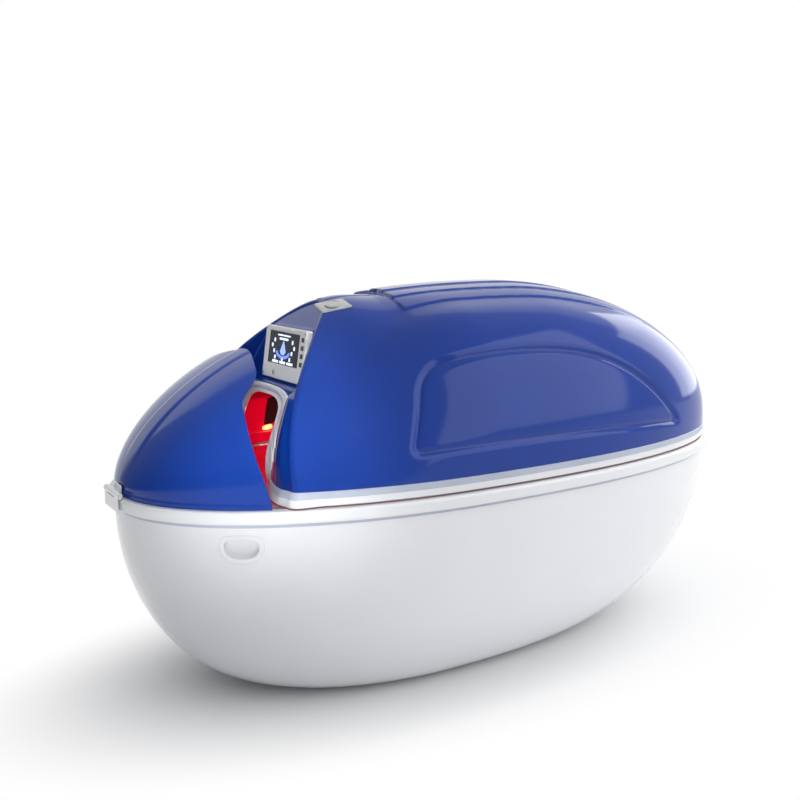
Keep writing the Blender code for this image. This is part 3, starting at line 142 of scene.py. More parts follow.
# Reliefs pressed into the lid: the panel's top falls off behind and ahead of its highest point
PANEL_DEPTH = 0.006
PANEL_EDGE = 0.014
PANEL_GROOVE = 0.006
PANEL_GROOVE_HALF = 0.009
PANEL_TOP = 1.0054
PANEL_TOP_X = -0.0433
PANEL_BACK_FALL = 0.64
PANEL_BACK_POWER = 2.63
PANEL_FORE_FALL = 0.44
PANEL_BOTTOM = 0.749
PANEL_SAG = 0.055
PANEL_SAG_X = -0.08
PANEL_LEFT = -0.389
PANEL_LEAN = 0.311
PANEL_LEAN_Z = 0.80
PANEL_LEAN_LENGTH = 1.047
PANEL_ROUNDS = (0.055, 0.028)
PANEL_ABOVE = (0.70, 0.02)
PANEL_OUTSIDE = (0.16, 0.05)
STEP_HEIGHT = 0.005
STEP_EDGE = 0.012
STEP_LINES = ((0.212, 0.243), (0.124, 0.168), (0.041, 0.060))
STEP_FRONT = -0.25
STEP_SLANT = 0.031 / 0.212
STEP_START = -0.28
STEP_REACH = 0.74
STEP_FADE = (0.30, 0.42)
STEP_ABOVE = (1.0, 0.05)
SINK_WIDTH = 0.12
SINK_FRONT = (-0.16, 0.15)
SPINE_HALF = 0.026
SPINE_HEIGHT = 0.002
SPINE_EDGE = 0.008
SPINE_END = (-0.01, 0.02)

# Hood
HOOD_BASE = 0.6206
HOOD_INSET = 0.0194
HOOD_CROWN = 0.430
HOOD_CROWN_X = -0.4875
HOOD_POWER = 1.60
HOOD_WALL = 0.006
HOOD_EDGE_X = -0.787
HOOD_EDGE_SPAN = (-0.06, 0.16)
HOOD_EDGE_TUCK = 0.034
HOOD_TUCK_POWER = 1.5
HOOD_EDGE_BROW = 0.060
HOOD_BROW_FROM = 0.68
HOOD_BROW_RISE = 0.26
HOOD_BROW_TIP = 0.035
HOOD_BROW_HALF = 0.18
HOOD_EDGE_TOP = 0.380
HOOD_SAMPLE_X = -0.80
HOOD_ROWS = 110
HOOD_COLUMNS = 180
HOOD_RIDGE = 0.004
HOOD_RIDGE_HALF = 0.040
HOOD_RIDGE_EDGE = 0.020
HOOD_RIDGE_FROM = (0.07, 0.10)
HOOD_CREASE = 0.0014
HOOD_CREASE_RISE = 0.016
HOOD_CREASE_WIDTH = 0.004
HOOD_CREASE_SPAN = (0.002, 0.030)
HOOD_CREASE_ROWS = 15

# Front wall of the lid
NECK_WALL_X = -0.695
NECK_WALL_LEAN = 0.35
NECK_ROWS = 34
NECK_CUT = 0.15
SHELF_RISE = 0.230
SHELF_FALL = 0.004
SHELF_ROWS = 9
SHELF_ROUND = 0.008
CONSOLE_WALL_X = -0.567
CONSOLE_WALL_LEAN = 0.14
CONSOLE_ROWS = 18
CONSOLE_ROUND = 0.006
BROW_RISE = 0.395
BROW_LAST = 0.004
BROW_ROWS = 24
BROW_ROUND = 0.010
FASCIA_WALL = 0.005
FASCIA_COLUMNS = 140
CHEEK_FOLD = 0.222
CHEEK_FOLD_LEAN = 0.26
CHEEK_FOLD_MOST = 0.97
CHEEK_BOW = 0.010
CHEEK_BOW_SHARE = 0.8
CHEEK_BOW_FROM = 0.165
CHEEK_BOW_FADE = 0.60
CHEEK_BLUR = 0.012
WALL_BLUR = 0.004
CHEEK_STEPS = 23
SKIRT_FADE = 0.10

# Neck arch and its trims
ARCH_HALF = 0.113
ARCH_RISE = 0.200
ARCH_BAND = 0.028
ARCH_LEG_RATIO = 1.65
ARCH_LEG_STEPS = 4
ARCH_SHOULDER = 0.058
ARCH_POWER = 3.0
ARCH_STEPS = 60
TRIM_THICK = 0.010
TRIM_ROUND = 0.0045
TRIM_STEPS = 70
FLARE_RADIUS = 0.070
FLARE_STEPS = 12
FLARE_THIN = 0.75
BEAD_PLACE = 0.55
BEAD_FOOT_PLACE = 1.10
BEAD_WIDTH = 0.013
BEAD_THICK = 0.003
BEAD_SUNK = 0.35
BEAD_STEPS = 12

# Console: levels are (shrink or grow, depth)
CONSOLE_SIZE = (0.280, 0.158, 0.018)
CONSOLE_AT = (-0.0025, 0.085)
BEZEL_CORNER = 0.008
BEZEL_ROUND = 0.004
BEZEL_ROUND_FROM = 0.2
BEZEL_LAND = 0.0045
PLATE_ROUND = 0.0008
SCREEN_SIZE = (0.203, 0.097, 0.004)
SCREEN_AT = (0.0035, 0.100)
SCREEN_ROUND = 0.002
SCREEN_SOFT = 0.0006
POCKET_ROUND = 0.003
POCKET_LEVELS = ((0.0045, 0.0), (0.004, 0.0), (0.0015, 0.0006), (0.0, 0.002), (0.0, 0.0043))
MARK_LIFT = 0.0004
MARK_ROUND = 0.45
KEY_SIZE = 0.013
KEY_ROUND = 0.001
KEY_PITCH = 0.024
KEY_SHIFT = -0.124
KEY_COUNT = 4
POWER_AT = (0.050, 0.024)
POWER_RADIUS = 0.007
WELL_SPAN = (0.010, 0.030)
SCREW_INSET = 0.010
SCREW_RADIUS = 0.0042
SCREW_STEPS = 24
SCREW_PROFILE = ((1.0, -0.0004), (1.0, 0.0006), (0.86, 0.0013), (0.5, 0.0016))
SCREW_SLOT = (0.46, 0.12)
SCREW_SLOT_TURN = 0.55
SCREW_SLOT_RISE = 0.0009

# Badge: levels are (share of the size, depth or rise)
BADGE_X = -0.447
BADGE_TURNS = (0.402, 0.450)
BADGE_LENGTH = 0.085
BADGE_PAD = 0.0012
BADGE_THICK = 0.003
BADGE_ROUND = 0.16
BADGE_LEVELS = ((1.0, 0.0008), (0.985, 0.0), (0.93, 0.0), (0.915, 0.0006), (0.90, 0.0006), (0.885, 0.0))
BADGE_MIDDLE = (0.7, 0.5, 0.3, 0.12)
BADGE_DISC = 0.024
DISC_LEVELS = (
    (1.0, -0.0015), (1.0, 0.0008), (0.96, 0.0015), (0.86, 0.0015), (0.83, 0.0009), (0.70, 0.0009),
    (0.67, 0.0014), (0.55, 0.0014), (0.52, 0.0009), (0.20, 0.0011),
)

# Grips
GRIP_AT = (-0.86, 0.514)
GRIP_SIZE = (0.092, 0.052)
GRIP_WALL = 0.003
GRIP_BORDER = 0.011
GRIP_PROUD = 0.004
GRIP_PROUD_POWER = 0.6
GRIP_DEPTH = 0.035
GRIP_FLOOR = ((0.0, 0.010), (-0.002, 0.004), (-0.007, 0.0))
GRIP_SHOULDER = 0.020
GRIP_POWERS = (3.2, 2.3)
GRIP_STEPS = 120
SITE_STEP = 1e-4

# Lining of the lid
LINER_SPACE = 0.030
LINER_WALL = 0.004
LINER_FRONT_X = -0.66
LINER_LEAN = 0.55
LINER_ROWS = 60
LINER_COLUMNS = 90
LINER_BASE = FLANGE_TOP + GAP
PANEL_SEAT = 0.0346
HEATER_THICK = 0.008
HEATER_TURNS = (0.9 / 30, 3.3 / 30)
HEATER_FRONTS = (-0.449, -0.446)
HEATER_END = 0.85
HEATER_RIB = 0.0006
HEATER_RIBS = 6
HEATER_STEPS = (60, 31)
LAMP_AT = (-0.436, 0.52 / 30)
LAMP_SIZE = (0.038, 0.55 / 30)
LAMP_POWER = 3.0
LAMP_DOME = ((1.0, 0.0), (1.0, 0.004), (0.94, 0.0066), (0.78, 0.0086), (0.52, 0.0097), (0.2, 0.010))

# Tray and pillow
TRAY_FLOOR = 0.560
TRAY_TOP = 0.616
TRAY_WALL = 0.006
TRAY_SLOPE = 0.030
TRAY_ROUND = 0.002
TRAY_COVE = (0.014, 0.022)
TRAY_COVE_IN = 0.020
TRAY_COVE_STEPS = 7
TRAY_SPLIT = 0.77
BED_TOP = TRAY_FLOOR + TRAY_WALL
CUT_HEIGHTS = (0.3, 0.9)
CUT_BEYOND = 2.0
SLOT_Y = 0.17075
SLOT_WIDTH = 0.036
SLOT_START = TRAY_SPLIT - 0.1
SLOT_END = 0.90
PILLOW_X = -0.81
PILLOW_SIZE = (0.18, 0.34, 0.085)
PILLOW_WAIST = 0.07
PILLOW_HEM = 0.30
PILLOW_POWERS = (2.6, 3.2)
PILLOW_STEPS = (41, 65)
PILLOW_SHRINK = 0.95
PILLOW_UNDER = 3
PILLOW_VOXEL = 0.005
PILLOW_PRESSURE = 4.0
PILLOW_FRAMES = 20
PILLOW_QUALITY = 6
PILLOW_MASS = 0.3
PILLOW_SWELL = 0.012
PILLOW_CROWN = 0.004

# Camera of the photograph
CAMERA_AT = (-1.8223, -2.7055, 1.3279)
CAMERA_TO = (-0.1642, 0.0, 0.8067)
CAMERA_LENS = 44.892
CAMERA_SENSOR = 36.0

# Stage and light: a lamp has place, aim, size, power, whether it is mirrored, and its spread in degrees
FLOOR_RADIUS = 14
FLOOR_TONE = 0.82
FLOOR_FADE = (0.7, 1.5)
STAGE_STEPS = 64
STAGE_LOW = -0.02
BACKDROP_AWAY = 6.0
BACKDROP_SIZE = 9.0
BACKDROP_TONE = 0.92
SURROUND_RADIUS = 11
SURROUND_LOW = -0.01
SKY_TOWARDS = (0.5, -0.3, 0.8)
SKY_FROM = -0.6
SKY_DARK = (0.15, 0.155, 0.165)
SKY_PALE = (0.76, 0.77, 0.80)
LIGHTS = {
    "key_light": ((2.8, -3.8, 2.9), (0.2, 0, 0.6), (5.0, 5.2), 106, True, 180),
    "window_light": ((4.4, 0.6, 1.9), (0.5, 0, 0.8), (2.6, 2.6), 45, True, 180),
    "top_light": ((1.9, -0.2, 3.55), (0.1, 0, 1.1), (0.25, 3.0), 30, False, 180),
    "neck_light": ((-2.05, -3.0, 1.45), (-0.68, -0.12, 0.76), (0.5, 0.5), 0.9, False, 12),
}

# Finishes: colour, roughness and what differs from the plain finish; noises are (scale, detail)
TONE_NOISE = (5.0, 3.0)
TONE_SPAN = (0.30, 0.70)
GLOSS_NOISE = (11.0, 4.0)
GLOSS_PATCHY = 0.25
GRAIN_DETAIL = 2.0
GRAIN_DEPTH = 0.002
COAT_ROUGHNESS = 0.03
# Painted red cabin light on the lining: a strong glow below this height, and a faint one above it as painted
# shade on the ceiling.
PAINTED_LIGHT_TOP = 0.778
PAINTED_LIGHT_BLUR = 0.012
PAINTED_LIGHT_BELOW = (0.40, 0.0, 0.012)
PAINTED_DIM_LIGHT_ABOVE = (0.07, 0.0, 0.006)
PAINTED_LIGHT_STRENGTH = 0.8
FINISHES = {
    "white_gelcoat": ((0.80, 0.81, 0.82), 0.16, dict(coat=0.4, grain=(35, 0.02), mottle=0.01)),
    "blue_gelcoat": ((0.004, 0.038, 0.278), 0.10, dict(grain=(30, 0.015), specular=0.35)),
    # Dark gasket rubber whose reddish tint is painted red light leaking from the cabin.
    "parting_gasket": ((0.24, 0.12, 0.13), 0.60, dict(grain=(400, 0.2))),
    "grey_seal": ((0.46, 0.50, 0.60), 0.45, dict(grain=(300, 0.1))),
    "black_rubber": ((0.02, 0.02, 0.02), 0.80, dict(grain=(500, 0.3))),
    "bright_steel": ((0.60, 0.60, 0.62), 0.28, dict(metallic=1.0, grain=(260, 0.12), stretch=(1, 14, 1))),
    "black_strut": ((0.02, 0.02, 0.02), 0.35, dict(grain=(300, 0.05))),
    "silver_console": ((0.84, 0.85, 0.84), 0.36, dict(grain=(700, 0.06))),
    "dark_screen": ((0.05, 0.055, 0.075), 0.10, dict(coat=0.3, grain=(20, 0.01))),
    "dark_plastic": ((0.06, 0.06, 0.07), 0.45, dict(grain=(600, 0.15))),
    "silver_badge": ((0.62, 0.62, 0.60), 0.30, dict(metallic=0.7, grain=(300, 0.08), stretch=(12, 1, 1))),
    "black_heater": ((0.010, 0.009, 0.010), 0.5, dict(grain=(220, 0.2))),
    "warm_lamp": ((1.0, 0.72, 0.40), 0.30, dict(glow=((1.0, 0.50, 0.16), 1.3))),
    # The red lining's finish, which also gets a glow below: painted red light of the cabin.
    "red_lit_liner": ((0.50, 0.003, 0.015), 0.40, dict(grain=(90, 0.04))),
    "grey_machine": ((0.35, 0.37, 0.39), 0.45, dict(metallic=0.4, grain=(350, 0.1))),
    "base_board": ((0.40, 0.30, 0.20), 0.60, dict(grain=(120, 0.3), mottle=0.2, stretch=(1, 9, 1))),
    "milky_tank": ((0.75, 0.78, 0.80), 0.50, dict(grain=(90, 0.05))),
    "dark_hose": ((0.08, 0.08, 0.09), 0.60, dict(grain=(300, 0.2))),
    "lit_white": ((0.6, 0.65, 0.75), 0.3, dict(glow=((0.75, 0.82, 1.0), 1.0))),
    "lit_cone": ((0.2, 0.3, 0.6), 0.3, dict(glow=((0.30, 0.42, 0.95), 1.0))),
    "lit_blue": ((0.05, 0.10, 0.45), 0.3, dict(glow=((0.16, 0.27, 0.95), 1.1))),
    "pillow_cover": ((0.80, 0.80, 0.79), 0.55, dict(grain=(900, 0.25), specular=0.3)),
}


def smooth(share):
    """Soft rise from 0 to 1."""
    share = np.clip(share, 0.0, 1.0)
    return share * share * (3 - 2 * share)


def soft_step(distance, width):
    """0 well below zero distance, 1 well above it, over this width."""
    return smooth(distance / width + 0.5)


def ramp_up(value, start, width):
    """Soft rise from 0 at the start to 1 this far past it."""
    return smooth((value - start) / width)


def rounded_both(first, second, radius):
    """Inside distance of two overlapping regions, with their corner rounded."""
    corner = np.hypot(np.maximum(radius - first, 0), np.maximum(radius - second, 0))
    return np.maximum(radius, np.minimum(first, second)) - corner


def past(distance, blur):
    """Distance where it is above zero, with a soft bend at zero."""
    return (distance + np.sqrt(distance**2 + blur**2)) / 2


def powered(wave, power):
    """A sine or cosine as a superellipse has it."""
    return np.copysign(np.abs(wave) ** (2 / power), wave)


def bulge(share, power):
    """Height of a superellipse at this share of its half length."""
    return (1 - share**power) ** (1 / power)


def bend(first, corner, last, share):
    """A point of the curve that rounds a corner."""
    return (1 - share) ** 2 * first + 2 * share * (1 - share) * corner + share * share * last


def unit(vectors):
    return vectors / np.maximum(np.linalg.norm(vectors, axis=-1, keepdims=True), TINY)


def lifted(flat, height):
    """Flat points with this third coordinate."""
    return np.column_stack([flat, np.full(len(flat), height)])


def angles_of(count):
    return np.linspace(0, 2 * np.pi, count, endpoint=False)


def circle(count):
    angles = angles_of(count)
    return np.stack([np.cos(angles), np.sin(angles)], -1)


def solve(function, low, high, shape):
    """Where a rising function crosses zero, for a whole array at once."""
    low, high = np.full(shape, float(low)), np.full(shape, float(high))
    for _ in range(HALVINGS):
        middle = (low + high) / 2
        below = function(middle) < 0
        low, high = np.where(below, middle, low), np.where(below, high, middle)
    return (low + high) / 2


def distances(points):
    """How far along a run of points each of them lies."""
    return np.concatenate([[0], np.cumsum(np.linalg.norm(np.diff(points, axis=0), axis=-1))])


def even(points, count):
    """Shares of a run of samples at which points along them lie evenly spaced."""
    run = distances(points)
    return np.interp(np.linspace(0, run[-1], count), run, np.linspace(0, 1, len(points)))


def cross_normals(surface, u, v, step=2e-4):
    """Unit normals of a surface of two shares, by differences."""
    along = surface(u + step, v) - surface(u - step, v)
    across = surface(u, v + step) - surface(u, v - step)
    return unit(np.cross(along, across))


def outward(surface, u, v):
    """Unit normals that point out of a skin that arches from v = 0 to v = 1."""
    normal = cross_normals(surface, u, v)
    aside = 1e-3 * normal[..., 1:2] * np.sign(v[..., None] - 0.5)
    return normal * np.sign(normal[..., 2:3] + aside + 1e-9)


def off_edges(share):
    return np.clip(share, EDGE_SHARE, 1 - EDGE_SHARE)


def plan_ends(head, inset):
    """Reach and power of the plan's head half or foot half."""
    reach = np.where(head, PLAN_MID - HEAD_END, FOOT_END - PLAN_MID) - inset
    return reach, np.where(head, HEAD_POWER, FOOT_POWER)


def plan_half_width(x, inset):
    reach, power = plan_ends(x < PLAN_MID, inset)
    return (WIDTH / 2 - inset) * bulge(np.clip(np.abs(x - PLAN_MID) / reach, 0, 1), power)


def plan_points(angle, inset):
    reach, power = plan_ends(np.cos(angle) < 0, inset)
    x = PLAN_MID + reach * powered(np.cos(angle), power)
    return x, (WIDTH / 2 - inset) * powered(np.sin(angle), power)


def hull_points(angle, drop, inset=0.0, floor=HULL_FLOOR):
    """Points of the hull: drop is 0 at the shoulder and 1 on the base."""
    x, y = plan_points(angle, HULL_OVERHANG + inset)
    share = np.where(x < PLAN_MID, HULL_HEAD_SHARE, HULL_FOOT_SHARE)
    along = share + (1 - share) * bulge(drop, HULL_END_POWER)
    across = HULL_SIDE_SHARE + (1 - HULL_SIDE_SHARE) * bulge(drop, HULL_SIDE_POWER)
    z = floor + (HULL_SHOULDER - floor) * (1 - drop) + 0 * x
    return np.stack([PLAN_MID + (x - PLAN_MID) * along, y * across, z], -1)


def arched(x, turn, half, crown, power, base):
    """Points of an arched section; turn runs from 0 at the near edge to 1 at the far edge."""
    angle = np.pi * turn
    z = base + crown * powered(np.sin(angle), power)
    return np.stack([x + 0 * angle, -half * powered(np.cos(angle), power), z], -1)


def lid_points(x, turn, inset=0.0, base=LID_BASE):
    foot = x > LID_CROWN_X
    reach = np.where(foot, FOOT_END - LID_INSET - inset - LID_CROWN_X, LID_HEAD_REACH)
    share = np.clip(np.abs(x - LID_CROWN_X) / reach, 0, 1)
    crown = (LID_CROWN - inset) * bulge(share, np.where(foot, LID_FOOT_POWER, LID_HEAD_POWER))
    nose = smooth((LID_NOSE_FROM - x) / (LID_NOSE_FROM - LID_NOSE_TO))
    power = LID_SECTION_POWER + (LID_NOSE_POWER - LID_SECTION_POWER) * nose
    return arched(x, turn, plan_half_width(x, LID_INSET + inset), crown, power, base)


def lid_front(turn):
    """x of the lid's front edge at this turn."""
    def ahead(x):
        rise = np.maximum(lid_points(x, turn)[..., 2] - LID_BASE - FRONT_KNEE, 0.0)
        return x - (FRONT_X + FRONT_LEAN * rise**FRONT_POWER)

    return solve(ahead, FRONT_X - LIP_RADIUS, LID_CROWN_X, turn.shape)


def lip_rows(fronts, turns):
    """Rows of the lid's rolled lip, from its inner edge to the skin."""
    rolls = np.pi / 2 * (1 - np.arange(LIP_ROWS) / LIP_ROWS)
    return np.array([
        lid_points(fronts + LIP_RADIUS * (1 - np.sin(roll)), turns, LIP_RADIUS * (1 - np.cos(roll)))
        for roll in rolls
    ])


def lid_grid(u, v):
    """Points of the lid behind its lip: u from the lip to the foot end, v from edge to edge."""
    front = np.interp(v, LID_TURNS, LID_FRONTS) + LIP_RADIUS
    return lid_points(front + (FOOT_END - LID_INSET - front) * u, v)


LID_TURNS = np.linspace(0, 1, 1201)
LID_FRONTS = lid_front(LID_TURNS)
LIP_EDGE = lid_points(LID_FRONTS[:601], LID_TURNS[:601], LIP_RADIUS - 3 * GAP)


def lip_edge(z):
    """Half width between the inner edges of the lid's lip at this height, and their x."""
    return np.interp(z, LIP_EDGE[:, 2], -LIP_EDGE[:, 1]), np.interp(z, LIP_EDGE[:, 2], LIP_EDGE[:, 0])


def hood_points(x, turn, inset=0.0):
    end = HEAD_END + HOOD_INSET + inset
    share = np.clip((HOOD_CROWN_X - x) / (HOOD_CROWN_X - end), 0, 1)
    crown = (HOOD_CROWN - inset) * bulge(share, HOOD_POWER)
    return arched(x, turn, plan_half_width(x, HOOD_INSET + inset), crown, LID_SECTION_POWER, HOOD_BASE)


def hood_edge(turn):
    """x of the hood's free edge: tucked in at the cheek, thrust forward over the brow, most in the middle."""
    def ahead(x):
        point = hood_points(x, turn)
        share = np.minimum((point[..., 2] - HOOD_BASE) / HOOD_EDGE_TOP, 1.0)
        tuck = HOOD_EDGE_TUCK * np.maximum(np.sin(np.pi * share), 0.0) ** HOOD_TUCK_POWER
        brow = HOOD_EDGE_BROW * ramp_up(share, HOOD_BROW_FROM, HOOD_BROW_RISE)
        tip = HOOD_BROW_TIP * (1 - smooth(np.abs(point[..., 1]) / HOOD_BROW_HALF))
        return x - HOOD_EDGE_X + tuck - (brow + tip)

    return solve(ahead, HOOD_EDGE_X + HOOD_EDGE_SPAN[0], HOOD_EDGE_X + HOOD_EDGE_SPAN[1], turn.shape)


def weave(rows, columns, first=0, ring=False):
    """Faces of a grid of points; a ring joins the last column to the first."""
    faces = []
    for r in range(rows - 1):
        low, high = first + r * columns, first + (r + 1) * columns
        for c in range(columns if ring else columns - 1):
            after = (c + 1) % columns
            faces.append((low + c, low + after, high + after, high + c))
    return faces


def make(name, points, faces, crease=CREASE):
    """A smooth mesh with sharp edges where faces meet at more than the crease angle."""
    mesh = bpy.data.meshes.new(name)
    mesh.from_pydata([tuple(map(float, p)) for p in points], [], faces)
    bm = bmesh.new()
    bm.from_mesh(mesh)
    bmesh.ops.remove_doubles(bm, verts=bm.verts, dist=1e-6)
    bmesh.ops.recalc_face_normals(bm, faces=bm.faces)
    bm.to_mesh(mesh)
    bm.free()
    mesh.shade_smooth()
    mesh.set_sharp_from_angle(angle=math.radians(crease))
    made = bpy.data.objects.new(name, mesh)
    bpy.context.scene.collection.objects.link(made)
    return made


def loft(name, loops, capped=True, crease=CREASE):
    """Closed loops of equal length joined in order, with flat caps or joined end to end."""
    count = len(loops[0])
    faces = weave(len(loops), count, ring=True)
    last = (len(loops) - 1) * count
    if capped:
        faces += [tuple(range(count)), tuple(range(last, last + count))]
    else:
        faces += [(last + c, last + (c + 1) % count, (c + 1) % count, c) for c in range(count)]
    return make(name, np.concatenate([np.asarray(loop) for loop in loops]), faces, crease)


def rectangle(insets, low, high):
    """Corners of a section of (inset, z)."""
    near, far = insets
    return [(near, low), (near, high), (far, high), (far, low)]


def rounded_section(corners, radius, steps=5):
    """A closed outline with each corner rounded."""
    corners = np.asarray(corners, float)
    points = []
    for before, at, after in zip(np.roll(corners, 1, 0), corners, np.roll(corners, -1, 0)):
        most = CORNER_MOST * min(np.linalg.norm(before - at), np.linalg.norm(after - at))
        reach = min(radius, most)
        first, last = at + unit(before - at) * reach, at + unit(after - at) * reach
        points += [bend(first, at, last, s) for s in np.linspace(0, 1, steps + 1)]
    return np.array(points)


def round_rectangle(middle, size, radius, steps=6):
    return rounded_section(np.array(middle) + np.array(size) / 2 * CORNERS, radius, steps)


def plan_lofted(name, section, capped):
    """A loft of loops round the plan, one for each (inset, z) of the section."""
    loops = []
    for inset, z in section:
        loops.append(lifted(np.stack(plan_points(angles_of(PLAN_STEPS), inset), -1), z))
    return loft(name, loops, capped)


def slab(name, front, back):
    """A thick panel between two equal grids."""
    rows, columns = front.shape[:2]
    count = rows * columns
    faces = weave(rows, columns) + weave(rows, columns, first=count)
    for c in range(columns - 1):
        for first in (c, count - columns + c):
            faces.append((first, first + 1, count + first + 1, count + first))
    for r in range(rows - 1):
        for first in (r * columns, r * columns + columns - 1):
            faces.append((first, first + columns, count + first + columns, count + first))
    return make(name, np.concatenate([front.reshape(-1, 3), back.reshape(-1, 3)]), faces)


def rows_back(surface, start, end, count):
    """Rows of a surface of x from a front edge back to an end, closer together near it."""
    shares = np.sin(np.pi / 2 * np.arange(count) / count)
    return np.array([surface(start + (end - start) * s) for s in shares])


def shell(name, outer, pole, inner, inner_pole, normals=None):
    """A thick skin between two grids that each end at a pole; the outer one may bring exact normals."""
    columns = outer.shape[1]
    rows, back_rows = outer.shape[0], inner.shape[0]
    front_pole = rows * columns
    first = front_pole + 1
    back_pole = first + back_rows * columns
    points = np.concatenate([outer.reshape(-1, 3), [pole], inner.reshape(-1, 3), [inner_pole]])
    faces = weave(rows, columns) + weave(back_rows, columns, first=first)
    for c in range(columns - 1):
        faces.append((c, c + 1, first + c + 1, first + c))
        for last in (front_pole, back_pole):
            faces.append((last - columns + c, last - columns + c + 1, last))
    for column in (0, columns - 1):
        low = [r * columns + column for r in range(rows)] + [front_pole]
        high = [first + r * columns + column for r in range(back_rows)] + [back_pole]
        faces.append(tuple(low + high[::-1]))
    made = make(name, points, faces, 50)
    if normals is not None:
        exact = np.zeros((len(points), 3))
        exact[: len(normals)] = normals
        made.data.normals_split_custom_set_from_vertices([tuple(map(float, n)) for n in exact])
    return made


def bake(item):
    """Applies an object's modifiers to its mesh."""
    graph = bpy.context.evaluated_depsgraph_get()
    mesh = bpy.data.meshes.new_from_object(item.evaluated_get(graph))
    item.modifiers.clear()
    item.data = mesh


def carve(target, cutter):
    """Takes the cutter's shape out of the target and removes the cutter."""
    step = target.modifiers.new("carve", "BOOLEAN")
    step.operation = "DIFFERENCE"
    step.object = cutter
    bake(target)
    target.data.shade_smooth()
    target.data.set_sharp_from_angle(angle=math.radians(CREASE))
    bpy.data.objects.remove(cutter, do_unlink=True)
    return target


def settle(piece, finish, body, *nodes, slot=None):
    """Gives a piece its finish, its body, and the nodes that it stands for."""
    piece.data.materials.clear()
    piece.data.materials.append(finishes[finish])
    slot or finish
    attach(piece, body)
    if nodes:
        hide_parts(*nodes)


def feed(tree, node, inputs):
    """Sets a node's inputs, each to a value or to the socket that drives it."""
    for key, value in inputs.items():
        if isinstance(value, bpy.types.NodeSocket):
            tree.links.new(value, node.inputs[key])
        else:
            node.inputs[key].default_value = value


def add(tree, kind, inputs, output=0, **settings):
    """A new node with these inputs and settings; gives one of its outputs."""
    node = tree.nodes.new("ShaderNode" + kind)
    for key, value in settings.items():
        setattr(node, key, value)
    feed(tree, node, inputs)
    return node.outputs[output]


def two_tones(tree, share, low, high):
    """A colour between two, each given as (position, colour)."""
    node = tree.nodes.new("ShaderNodeValToRGB")
    for element, (position, colour) in zip(node.color_ramp.elements, (low, high)):
        element.position, element.color = position, (*colour, 1)
    feed(tree, node, {"Fac": share})
    return node.outputs["Color"]


def finish_of(name, colour, roughness, metallic=0.0, coat=0.0, grain=(60.0, 0.02), mottle=0.06,
              specular=0.5, stretch=(1, 1, 1), glow=None):
    """A procedural finish: cloudy tone, patchy gloss and a fine grain in the surface."""
    made = bpy.data.materials.new(name)
    made.use_nodes = True
    tree = made.node_tree
    shader = tree.nodes["Principled BSDF"]
    place = add(tree, "TexCoord", {}, "Object")
    place = add(tree, "Mapping", {"Vector": place, "Scale": stretch}, "Vector")

    def noise(scale, detail):
        return add(tree, "TexNoise", {"Vector": place, "Scale": scale, "Detail": detail}, "Fac")

    dark = [c * (1 - mottle) for c in colour]
    pale = [min(c * (1 + mottle), 1.0) for c in colour]
    span = {"To Min": roughness * (1 - GLOSS_PATCHY), "To Max": roughness * (1 + GLOSS_PATCHY)}
    fine = {"Strength": grain[1], "Distance": GRAIN_DEPTH, "Height": noise(grain[0], GRAIN_DETAIL)}
    feed(tree, shader, {
        "Base Color": two_tones(tree, noise(*TONE_NOISE), (TONE_SPAN[0], dark), (TONE_SPAN[1], pale)),
        "Roughness": add(tree, "MapRange", {"Value": noise(*GLOSS_NOISE), **span}, "Result"),
        "Normal": add(tree, "Bump", fine, "Normal"),
        "Metallic": metallic,
        "Coat Weight": coat,
        "Coat Roughness": COAT_ROUGHNESS,
        "Specular IOR Level": specular,
    })
    if glow:
        feed(tree, shader, {"Emission Color": (*glow[0], 1), "Emission Strength": glow[1]})
    return made


def paint_cabin_red_light(finish):
    """Adds painted red cabin light to a finish as a glow: strong on the lower walls of the cabin, and faint
    above them, where the ceiling is in painted shade.
    """
    tree = finish.node_tree
    place = add(tree, "TexCoord", {}, "Object")
    height = add(tree, "SeparateXYZ", {"Vector": place}, "Z")
    span = {"Value": height, "From Min": PAINTED_LIGHT_TOP, "From Max": PAINTED_LIGHT_TOP + PAINTED_LIGHT_BLUR}
    glow = two_tones(tree, add(tree, "MapRange", span, "Result"), (0.0, PAINTED_LIGHT_BELOW), (1.0, PAINTED_DIM_LIGHT_ABOVE))
    shader = tree.nodes["Principled BSDF"]
    feed(tree, shader, {"Emission Color": glow, "Emission Strength": PAINTED_LIGHT_STRENGTH})


def panel_inside(x, z):
    """How far a point of the lid's side lies inside the outline of its pressed panel."""
    back, fore = np.maximum(x - PANEL_TOP_X, 0), np.minimum(x - PANEL_TOP_X, 0)
    drop = PANEL_BACK_FALL * back**PANEL_BACK_POWER + PANEL_FORE_FALL * fore**2
    slope = PANEL_BACK_FALL * PANEL_BACK_POWER * back ** (PANEL_BACK_POWER - 1) - 2 * PANEL_FORE_FALL * fore
    top = (PANEL_TOP - drop - z) / np.sqrt(1 + slope**2)
    bottom = z - PANEL_BOTTOM + PANEL_SAG * (x - PANEL_SAG_X) ** 2
    left = (x - PANEL_LEFT - PANEL_LEAN * (z - PANEL_LEAN_Z)) / PANEL_LEAN_LENGTH
    return rounded_both(rounded_both(top, left, PANEL_ROUNDS[0]), bottom, PANEL_ROUNDS[1])


